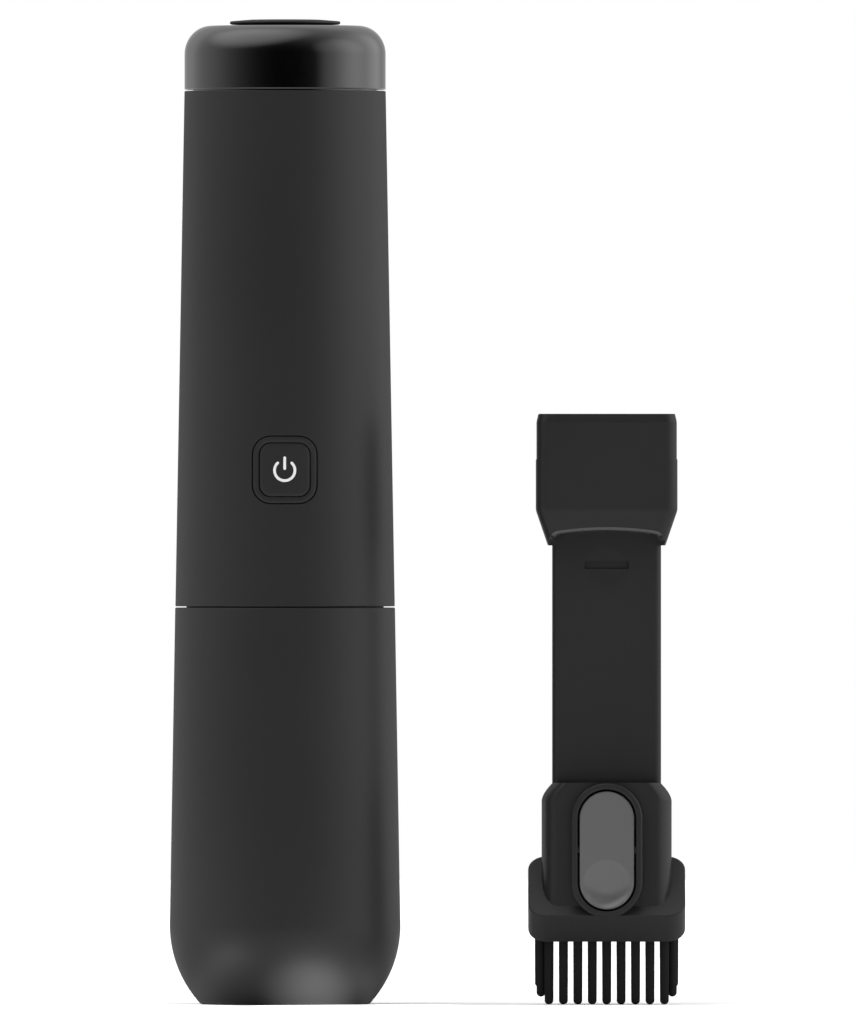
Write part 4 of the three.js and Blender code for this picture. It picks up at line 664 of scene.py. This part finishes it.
def stroke_arc(centre, inner, outer, start, end, steps):
    """A flat band of ink round a centre, spun from one radial line."""
    ends = [bm.verts.new((centre[0] + r * cos(start), centre[1] + r * sin(start), 0))
            for r in (inner, outer)]
    line = bm.edges.new(ends)
    bmesh.ops.spin(bm, geom=ends + [line], cent=(centre[0], centre[1], 0), axis=(0, 0, 1),
                   angle=end - start, steps=steps)


stroke_arc((0, ring_z), ring_radius - half_stroke, ring_radius + half_stroke,
           pi / 2 + half_gap, 5 * pi / 2 - half_gap, 72)
for angle, turn in ((pi / 2 + half_gap, -1), (pi / 2 - half_gap, 1)):
    centre = (ring_radius * cos(angle), ring_z + ring_radius * sin(angle))
    stroke_arc(centre, 0, half_stroke, angle, angle + turn * pi, 12)
bar_ends = (bar_low + half_stroke, bar_high - half_stroke)
for end_z, start in zip(bar_ends, (pi, 0)):
    stroke_arc((0, end_z), 0, half_stroke, start, start + pi, 12)
bm.faces.new([bm.verts.new((x, z, 0)) for x, z in (
    (-half_stroke, bar_ends[0]), (half_stroke, bar_ends[0]),
    (half_stroke, bar_ends[1]), (-half_stroke, bar_ends[1]))])
bmesh.ops.remove_doubles(bm, verts=bm.verts, dist=1e-4)
for vert in bm.verts:
    vert.co = Vector(on_face(vert.co.x, vert.co.y, -ink_height)) / 1000
bmesh.ops.recalc_face_normals(bm, faces=bm.faces)
for face in bm.faces:
    if face.normal.y > 0:
        face.normal_flip()
piece("power_sign", bm, white_ink, "button", [])


# Motor base and seal ring
# The floor of the upper unit, of plain black ABS. Its spigot plugs into the cup and carries a
# rubber seal ring in a groove, and its collar below holds the filter.

spigot_radius = 29.07
spigot_bore = 26.0
groove_radius = 27.77
ledge_radius = 29.77
collar_radius = 15.5
collar_bore = 13.5
base_bottom = 104.0
base_floor_top = 106.5
base_top = 126.0
seal_z = 108.9
seal_radius = 0.99
screw_hole_radius = 1.5

# ABS with a plain mould skin: a little duller and greyer than the outside.
plain_abs = plastic("plain_moulded_abs", "#1d1d1f", 0.55, 0.7, 0.001)
profile = [(collar_bore, 97.5), (collar_radius - 0.3, 97.5), (collar_radius, 97.8),
           (collar_radius, base_bottom), (28.6, base_bottom), (spigot_radius, 104.5),
           (spigot_radius, 107.6), (groove_radius, 107.6), (groove_radius, 110.2),
           (spigot_radius, 110.2), (spigot_radius, 119.0), (ledge_radius, 119.0),
           (ledge_radius, 122.0), (spigot_radius, 122.0), (spigot_radius, base_top),
           (spigot_bore, base_top), (spigot_bore, base_floor_top), (collar_bore, base_floor_top)]
base = spun(profile, body_x, closed=True)
for x, y in screw_places:
    base = carve(base, bar(screw_hole_radius, 20, (x, y, base_bottom), upright=True))
piece("base_floor", base, plain_abs, "motor_unit", ["motor_base"], even=True)

section = arc((spigot_radius, seal_z), (seal_radius, seal_radius), 0, 2 * pi, 15)
piece("seal_ring", spun(section[:-1], body_x, closed=True), nitrile, "motor_unit", ["cup_seal"],
      sharp=60)


# Filter
# A frame of plain ABS that pushes onto the intake collar, with a ring of pleated glass-fibre
# paper cast into it. Both keep their CAD shape.

def fibrous(name, colour, fibre, relief_depth, roughness=0.9):
    """Paper or foam: matt, with a relief of fibres or cells. fibre is their size in mm."""
    material, tree, place = new_material(name)
    cells = add(tree, "ShaderNodeTexVoronoi", {"Vector": place, "Scale": 1000 / fibre})
    fuzz = add(tree, "ShaderNodeTexNoise", {
        "Vector": place, "Scale": 2000 / fibre, "Detail": 3.0})
    tone = add(tree, "ShaderNodeValToRGB", {"Fac": cells.outputs["Distance"]})
    shades(tone.color_ramp, colour, (0.75, 1.15))
    height = add(tree, "ShaderNodeMath", {0: cells.outputs["Distance"], 1: fuzz.outputs[0]},
                 operation="ADD")
    relief = add(tree, "ShaderNodeBump", {
        "Height": height.outputs[0], "Strength": 0.8, "Distance": relief_depth / 1000})
    surface = add(tree, "ShaderNodeBsdfPrincipled", {
        "Base Color": tone.outputs[0], "Roughness": roughness, "IOR": 1.45,
        "Specular IOR Level": 0.3, "Normal": relief.outputs[0]})
    add(tree, "ShaderNodeOutputMaterial", {"Surface": surface.outputs[0]})
    return material


# Glass-fibre filter paper, off-white and matt.
filter_paper = fibrous("glass_fibre_filter_paper", "#dcd9cf", 0.25, 0.04)
dress(filter_paper, "filter_pleats")
dress(plain_abs, "filter_frame")


# Fan and motor
# A glass-filled nylon fan in an ABS shroud, on the shaft of a small brushed motor: a plated steel
# can with two sintered bearings and two magnets, and a wound core with a copper commutator.

# Nylon with glass fibre: greyish black, the fibres give it a faint streaky sheen.
glass_nylon = plastic("glass_filled_nylon", "#26272a", 0.45, 0.8, 0.002, shade=0.12)
# Zinc-plated deep-drawn steel: grey and bright, drawn lines run up the can.
plated_steel = metal("zinc_plated_steel", "#a9adb0", 0.34, 0.5, (1.0, 1.0, 0.15))
# Ground and polished bearing steel for the shaft and the screws.
ground_steel = metal("ground_steel", "#c3c6ca", 0.2, 0.2, (1.0, 1.0, 4.0))
# Enamelled copper wire wound round a laminated core: its lines are the turns of wire.
copper_wire = metal("enamelled_copper_wire", "#b56a3a", 0.35, 0.4, (1.0, 1.0, 0.1))
# Sintered ferrite: a dark ceramic with a faint crystal grain.
ferrite = fibrous("sintered_ferrite", "#35363a", 0.3, 0.01, 0.7)
dress(plain_abs, "fan_shroud", "motor_bracket")
dress(glass_nylon, "fan_impeller")
dress(nitrile, "motor_mount")
dress(plated_steel, "motor_can")
dress(ground_steel, "motor_bearing_lower", "motor_bearing_upper", "motor_shaft",
      "base_screw_1", "base_screw_2", "base_screw_3")
dress(copper_wire, "motor_core", "motor_commutator")
dress(ferrite, "magnet_front", "magnet_back")


# Battery pack and boards
# Three lithium cells in shrink-fitted PVC between two ABS holders, joined by nickel strip, with a
# charging board beside them and the switch board behind the button.

# Shrink-fitted PVC film: smooth and a little glossy.
shrink_film = plastic("shrink_fitted_pvc_film", "#2f6f4e", 0.3, 4.0, 0.001, shade=0.05)
# Bright rolled nickel strip: fine rolling lines along its length.
nickel = metal("rolled_nickel_strip", "#c9c7bd", 0.25, 0.2, (0.1, 1.0, 1.0))
# Glass-epoxy laminate under a green solder mask: a smooth half gloss.
laminate = plastic("green_solder_mask", "#1f5a3c", 0.38, 0.6, 0.001, shade=0.08)
dress(plain_abs, "pack_holder_lower", "pack_holder_upper", "tactile_switch")
dress(shrink_film, "battery_cell_1", "battery_cell_2", "battery_cell_3")
dress(nickel, "cell_link")
dress(laminate, "charge_board", "switch_board")
dress(plated_steel, "charge_port")
dress(ground_steel, "board_screw_1", "board_screw_2")
dress(glass_nylon, "switch_plunger")


# Exhaust foam
# A pad of open-cell polyurethane foam, cut from sheet and pressed in behind the exhaust slots. It
# keeps its CAD shape.

# Polyurethane foam: dark and dull, with open cells.
foam = fibrous("open_cell_polyurethane_foam", "#3a3a3c", 0.7, 0.25)
dress(foam, "exhaust_foam")


# Crevice tube
# An oblong tube of matt black polypropylene, cut off at a slant below. Two slots in its front
# take the brush's tooth, and a shallow round mark for the thumb lies over the upper one.

tool_x = 52.825
tilt = pi / 4
head_centre = 27.1358
tube_width = 32.1
tube_depth = 9.2
tube_corner = 2.0
tube_wall = 1.4
tube_top = 150.0
tube_front = -tube_depth / 2
tube_tip = head_centre + 1.2 / cos(tilt)
tooth_slot_heights = (129.55, 60.55)
tooth_slot_size = (13, 2.3, 0.15)
tooth_slot_depth = 0.95
in_front_y = -8
mark_z = 128.65
mark_radius = 7.2
mark_depth = 0.16

# Polypropylene with a fine matt skin: soft-looking, its highlights are broad and weak.
matt_pp = plastic("matt_moulded_polypropylene", "#232323", 0.6, 0.45, 0.0012,
                  extra={**satin, "Coat Weight": 0.28, "Coat Roughness": 0.34})


def tube_ring(inset, rise):
    """A ring of the tube; rise counts from the slanted end, or is None for the square top."""
    points = outline(tube_width - 2 * inset, tube_depth - 2 * inset, max(tube_corner - inset, 0.3))
    return [(tool_x + x, y, tube_top if rise is None else tube_tip + y + rise) for x, y in points]


tube = loft([tube_ring(inset, rise) for inset, rise in (
    (0, None), (0, 0.35), (0.1, 0.1), (0.35, 0), (tube_wall - 0.2, 0), (tube_wall, 0.25),
    (tube_wall, None))], closed=True)
for slot_z in tooth_slot_heights:
    points = outline(*tooth_slot_size, round_steps=3)
    tube = carve(tube, along_y(points, in_front_y, tube_front + tooth_slot_depth, tool_x, slot_z))
# The mark is the shallow end of a large ball.
ball_radius = (mark_radius ** 2 + mark_depth ** 2) / (2 * mark_depth)
ball_y = tube_front + mark_depth - ball_radius
mark = bmesh.new()
bmesh.ops.create_uvsphere(
    mark, u_segments=160, v_segments=200, radius=ball_radius / 1000,
    matrix=Matrix.Translation((tool_x / 1000, ball_y / 1000, mark_z / 1000))
    @ Matrix.Rotation(pi / 2, 4, "X"))
tube = carve(tube, mark)
piece("tube_shell", tube, matt_pp, "tool", ["crevice_tube"], even=True)


# Connector
# It is moulded in the same matt polypropylene and pressed onto the tube. Its upper half plugs
# into the cleaner's mouth, its lower half tapers, and its edge arches over the tube.

connector_bottom = 135.3
connector_top = 174.1
connector_corner = 3.5
# Height, half width and half depth of the taper's lower and upper end.
taper_low = (136.3, 17.65, 12.0)
taper_high = (145.1, 20.66, 12.94)


def connector_ring(z, half_width, half_depth, corner=connector_corner):
    """A ring of the connector at a height."""
    return [(tool_x + x, y, z) for x, y in outline(2 * half_width, 2 * half_depth, corner)]


def smooth_line(points, steps):
    """A rounder line through the points: each stretch is a cubic led by its neighbours."""
    line = []
    for i in range(len(points) - 1):
        a, b, c, d = (Vector(points[min(max(k, 0), len(points) - 1)]) for k in range(i - 1, i + 3))
        for step in range(steps):
            t = step / steps
            line.append(0.5 * (2 * b + (c - a) * t + (2 * a - 5 * b + 4 * c - d) * t * t
                               + (3 * b - a - 3 * c + d) * t ** 3))
    return [tuple(p) for p in line] + [tuple(points[-1])]


# Up the outside, over the rim, down the hollow, and along the sleeve that holds the tube.
connector = loft([connector_ring(*ring) for ring in (
    (connector_bottom, 17.1, 11.8, 3.2), (135.38, 17.27, 11.93, 3.4), (135.6, 17.42, 12.0),
    taper_low, taper_high, (145.6, 20.79, 12.98), (146.1, 20.84, 13.0), (146.6, 20.85, 13.0),
    (160.4, 20.85, 13.0), (160.6, 20.8, 13.0), (160.8, 20.65, 13.0), (171.5, 20.65, 13.0),
    (172.0, 20.59, 12.95), (173.85, 20.16, 12.51, 3.4), (174.02, 20.06, 12.42, 3.3),
    (connector_top, 19.9, 12.25, 3.1), (connector_top, 18.75, 11.1, 2.1),
    (174.0, 18.55, 10.9, 1.9), (173.7, 18.5, 10.85, 1.9), (158.0, 18.5, 10.85, 1.9),
    (150.3, 14.65, 3.2, 0.6), (150.3, 16.35, 4.9, 2.3), (connector_bottom, 16.35, 4.9, 2.3))],
    closed=True)

# The arch in X and in height over the connector's bottom, and how far it has dropped at each
# distance from the connector's middle.
arch_points = smooth_line([
    (-17.4, -2), (-17.4, 0.3), (-17.1, 1.8), (-16.4, 3.3), (-14.5, 4.5), (-7.25, 5.325),
    (0, 5.6), (7.25, 5.325), (14.5, 4.5), (16.4, 3.3), (17.1, 1.8), (17.4, 0.3), (17.4, -2)], 5)
arch_drops = ((4.9, 1.6), (10.9, 0.5), (13.6, -0.05))
for side in (-1, 1):
    arch = loft([[(tool_x + x, side * y, connector_bottom + z - drop) for x, z in arch_points]
                 for y, drop in arch_drops])
    connector = carve(connector, arch)
piece("connector_shell", connector, matt_pp, "tool", ["tool_connector"], even=True)


def connector_front(x, z):
    """Half the connector's depth at a place of its lower half, rounded corners included."""
    share = max((z - taper_low[0]) / (taper_high[0] - taper_low[0]), -0.1)
    half_width, half_depth = (
        taper_low[i] + (taper_high[i] - taper_low[i]) * share for i in (1, 2))
    past = max(abs(x) - half_width + connector_corner, 0)
    return half_depth - connector_corner + sqrt(max(connector_corner ** 2 - past ** 2, 0))


# The arch's edge is bevelled and polished, so it picks up the pale floor.
polished_pp = plastic("polished_polypropylene", "#262626", 0.6, 0.45, 0.0006,
                      extra={**satin, "Coat Weight": 1.0, "Coat Roughness": 0.16, "Coat IOR": 1.6})
# Section of the bevel: how far it stands into the arch, and how deep behind the front. It grows
# to its full size over the first points of the line, from a quarter of it.
bevel = [(-0.2, 0.5), (0.0, 0.02), (0.08, 0.06), (1.45, 1.08), (1.55, 1.25), (1.4, 1.8),
         (-0.2, 2.4)]
bevel_start = 0.25
bevel_growth = 6
edge_line = [point for point in arch_points if point[1] > 0.25]
last = len(edge_line) - 1
for side, name in ((-1, "connector_edge_front"), (1, "connector_edge_back")):
    rings = []
    for i, (x, z) in enumerate(edge_line):
        before, after = edge_line[max(i - 1, 0)], edge_line[min(i + 1, last)]
        along = Vector((after[0] - before[0], after[1] - before[1])).normalized()
        grown = min(1, bevel_start + (1 - bevel_start) * min(i, last - i) / bevel_growth)
        front = connector_front(x, connector_bottom + z)
        rings.append([(tool_x + x + along[1] * reach * grown, side * (front - sunk * grown),
                       connector_bottom + z - along[0] * reach * grown) for reach, sunk in bevel])
    piece(name, loft(rings), polished_pp, "tool", [], sharp=50)


# Brush body
# One moulding in the same polypropylene: a slanted oblong head, a sleeve with a bowed front that
# slides on the tube, and a raised ring round the latch. The head is hollowed below for bristles.

head_width = 46.3
head_length = 24.85
head_thickness = 11.1
head_corner = 5.3
head_edge = 0.45
sleeve_start = 5
sleeve_top = 65.4
sleeve_half = 19.15
bow_width = 4.7
bow_depth = 8.1
bow_y = -5.6
sleeve_back = 6.7
sleeve_corner = 3
shoulder_inset = 3.1
shoulder_drop = 5.4
shoulder_edge = 0.25
latch_z = 45.5
latch_axis_y = -12.3
passage_size = (32.7, 9.8, 2.3)  # width, depth and corner radius
passage_top = 80
seat_radius = 1.6
seat_length = 20.4
tooth_window = (-5.3, 5.3, 59.5, 62.6)  # left, right, bottom and top
recess_wall = 0.5
recess_depth = 1.5


def in_head(x, y, z):
    """A point of the slanted head, from its own frame to the scene's, in mm."""
    return (tool_x + x, y * cos(tilt) - z * sin(tilt), head_centre + y * sin(tilt) + z * cos(tilt))


def head_ring(inset, z):
    """A ring of the slanted head, at a height of its own frame."""
    points = outline(head_width - 2 * inset, head_length - 2 * inset, head_corner - inset)
    return [in_head(x, y, z) for x, y in points]


bends = [i * pi / 8 for i in range(5)]
rings = [head_ring(head_edge * (1 - sin(a)), head_edge * (1 - cos(a))) for a in bends]
rings += [head_ring(head_edge * (1 - cos(a)), head_thickness - head_edge * (1 - sin(a)))
          for a in bends]
head = loft(rings)


def sleeve_ring(z, inset):
    """The sleeve's outline: a bowed front, and rounded corners behind."""
    half = sleeve_half - inset
    points = arc((half - bow_width, bow_y), (bow_width, bow_depth), -pi / 2, 0, 12)
    points += arc((half - sleeve_corner, sleeve_back - sleeve_corner),
                  (sleeve_corner, sleeve_corner), 0, pi / 2, 8)
    points += [(-x, y) for x, y in reversed(points)]
    return [(tool_x + x, y, z) for x, y in points]


rings = [sleeve_ring(sleeve_start, 0)]
for i in range(12, -1, -1):
    share = i / 12
    rings.append(sleeve_ring(
        sleeve_top - shoulder_edge - (shoulder_drop - shoulder_edge) * share,
        shoulder_inset * (1 - share) ** 1.65))
rings.append(sleeve_ring(sleeve_top, shoulder_inset + shoulder_edge))
sleeve = loft(rings)


def stadium(width, tall, y, inset=0.0):
    """An upright slot shape with round ends about the latch's middle, on a flat plane at y."""
    points = outline(width - 2 * inset, tall - 2 * inset, width / 2 - inset - 0.001,
                     round_steps=20)
    return [(tool_x + x, y, latch_z + z) for x, z in points]


boss_width, boss_tall, boss_front = 21.0, 39.7, -17.2
boss = loft([stadium(boss_width, boss_tall, y, inset) for y, inset in (
    (bow_y, 0), (boss_front + 0.75, 0), (boss_front + 0.45, 0.06), (boss_front + 0.2, 0.2),
    (boss_front + 0.05, 0.45), (boss_front, 0.75))])


def keep_above(bm, height, front):
    """Keeps what lies above a height in the head's frame and behind its front face."""
    for local, normal in (((0, 0, height), (0, 0, 1)), ((0, front, 0), (0, 1, 0))):
        point = Vector(in_head(*local)) / 1000
        direction = Matrix.Rotation(tilt, 3, "X") @ Vector(normal)
        cut = bmesh.ops.bisect_plane(bm, geom=bm.verts[:] + bm.edges[:] + bm.faces[:],
                                     plane_co=point, plane_no=direction, clear_inner=True)
        edges = [item for item in cut["geom_cut"] if isinstance(item, bmesh.types.BMEdge)]
        if edges:
            bmesh.ops.edgeloop_fill(bm, edges=edges)
    bmesh.ops.recalc_face_normals(bm, faces=bm.faces)
    return bm


def tube_passage():
    """The room that the tube slides in."""
    return loft([[(tool_x + x, y, z) for x, y in outline(*passage_size)]
                 for z in (0, passage_top)])


# The sleeve ends inside the head, a little clear of its lower and its front face.
brush = carve(head, keep_above(sleeve, 1.6, -head_length / 2 + 0.6), "UNION")
brush = carve(brush, boss, "UNION")
brush = keep_above(brush, 0, -head_length / 2)
brush = carve(brush, tube_passage())
pocket = loft([stadium(17.3, 36.0, y, inset) for y, inset in (
    (-18.5, -0.5), (boss_front, -0.5), (boss_front + 0.05, -0.25), (boss_front + 0.2, -0.07),
    (boss_front + 0.5, 0), (-9.5, 0))])
brush = carve(brush, pocket)
brush = carve(brush, bar(seat_radius, seat_length, (tool_x, latch_axis_y, latch_z)))
left, right, bottom, top = tooth_window
brush = carve(brush, along_y([(left, bottom), (right, bottom), (right, top), (left, top)],
                             -14.3, 0, tool_x, 0))
brush = carve(brush, loft([head_ring(recess_wall, -2), head_ring(recess_wall, recess_depth)]))
piece("brush_shell", brush, matt_pp, "brush", ["brush_body"], sharp=30, even=True)


# Bristles
# Thick round-tipped bristles in a ring, moulded from black thermoplastic elastomer with the strip
# they stand on, in four slices that are pressed into the head.

bristle_radius = 1.37
bristle_pitch = 4.25
row_y = 6.385
side_x = 19.8
corner_x = 19.35
strip_thickness = 1.2
strip_inset = 0.8
far = 60  # past the strip on every side
long_slice_edge = 2.89
side_slice_edge = 2.59

# Thermoplastic elastomer: deep black, a soft satin.
elastomer = plastic("moulded_elastomer", "#202020", 0.6, 0.6, 0.002,
                    extra={"Specular IOR Level": 0.0})
row = [(i - 4) * bristle_pitch for i in range(9)]
corner_y = 0.64 * row_y
side_y = 0.214 * row_y


def bristle_at(bm, x, y):
    """One bristle: it widens a little at its root and its tip is rounded."""
    tip = y + row_y
    root = head_centre + y + 1.0
    tip_radius = bristle_radius * 0.96
    profile = [(0, tip)]
    profile += arc((0, tip + tip_radius), (tip_radius, tip_radius), -pi / 2 + 0.25, 0, 6)
    profile += [(bristle_radius * 0.98, tip + 8), (bristle_radius, root - 2.2),
                (bristle_radius, root)]
    rod = spun(profile, 0, steps=20)
    for vert in rod.verts:
        if vert.co.z * 1000 > root - 0.01:
            vert.co.z += vert.co.y
    bmesh.ops.translate(rod, verts=rod.verts, vec=((tool_x + x) / 1000, y / 1000, 0))
    merge(bm, rod)


def block(size, centre):
    """A plain block about a centre."""
    bm = bmesh.new()
    bmesh.ops.create_cube(bm, size=1, matrix=Matrix.Translation([c / 1000 for c in centre])
                          @ Matrix.Diagonal([s / 1000 for s in size] + [1]))
    return bm


def bristle_slice(name, places, size, middle_x, middle_y):
    """A slice of the ring: what a block about a middle keeps of the strip, and its bristles."""
    strip = loft([head_ring(strip_inset, 0), head_ring(strip_inset, strip_thickness)])
    strip = carve(strip, tube_passage())
    kept = block((*size, 2 * far), (tool_x + middle_x, middle_y, head_centre))
    strip = carve(strip, kept, "INTERSECT")
    for x, y in places:
        bristle_at(strip, x, y)
    piece("bristle_slice_" + name, strip, elastomer, "brush", ["bristles_" + name],
          sharp=40)


for side, name in ((-1, "front"), (1, "back")):
    places = [(x, side * row_y) for x in row] + [(x, side * corner_y) for x in (-corner_x, corner_x)]
    bristle_slice(name, places, (2 * far, far), 0, side * (long_slice_edge + far / 2))
for side, name in ((-1, "left"), (1, "right")):
    places = [(side * side_x, y) for y in (-side_y, side_y)]
    bristle_slice(name, places, (far, 2 * side_slice_edge), side * far / 2, 0)


# Latch
# A grey moulded button that rocks on two stubs, with a round dish for the thumb. Behind it a
# sprung steel leaf carries the tooth, and a coil spring holds the button out.

latch_width = 16.1
latch_tall = 34.8
latch_front = -16.9
latch_back = -14.3
lug_size = (16, 3.7, 4.4)  # along x, y and z
lug_y = -12.65
stub_radius = 1.3
stub_length = 19.8
dish_radius = 7.1
dish_depth = 1.3
dish_z = latch_z - 9.7
dish_steps = 24
dish_points = 96
# The dish is deepest a little to the right of its middle and well below it, and its side is
# steepest there too.
deepest_x, deepest_z = 0.9, -2.9

# Grey ABS with a smooth satin skin.
grey_abs = plastic("grey_moulded_abs", "#555555", 0.6, 0.6, 0.0006, shade=0.03,
                   extra={**satin, "Coat Weight": 0.7, "Coat Roughness": 0.2})
latch = loft([stadium(latch_width, latch_tall, y, inset) for y, inset in (
    (latch_back, 0), (latch_front + 0.5, 0), (latch_front + 0.28, 0.04),
    (latch_front + 0.1, 0.16), (latch_front + 0.02, 0.34), (latch_front, 0.55))])
latch = carve(latch, block(lug_size, (tool_x, lug_y, latch_z)), "UNION")
latch = carve(latch, bar(stub_radius, stub_length, (tool_x, latch_axis_y, latch_z)), "UNION")
rings = []
for step in [*range(1, dish_steps + 1), dish_steps + 2]:
    share = step / dish_steps
    drift = 1 - min(share, 1)
    ring = []
    for i in range(dish_points):
        angle = 2 * pi * i / dish_points
        steepness = 2.2 - sin(angle - 0.35)
        sunk = dish_depth * (1 - share ** steepness) if share <= 1 else -1.5
        ring.append((tool_x + dish_radius * share * cos(angle) + deepest_x * drift,
                     latch_front + sunk,
                     dish_z + dish_radius * share * sin(angle) + deepest_z * drift))
    rings.append(ring)
latch = carve(latch, loft(rings))
piece("latch_cap", latch, grey_abs, "latch", ["latch_button"], sharp=24, even=True)
dress(drawn_steel, "latch_tooth", "latch_spring")
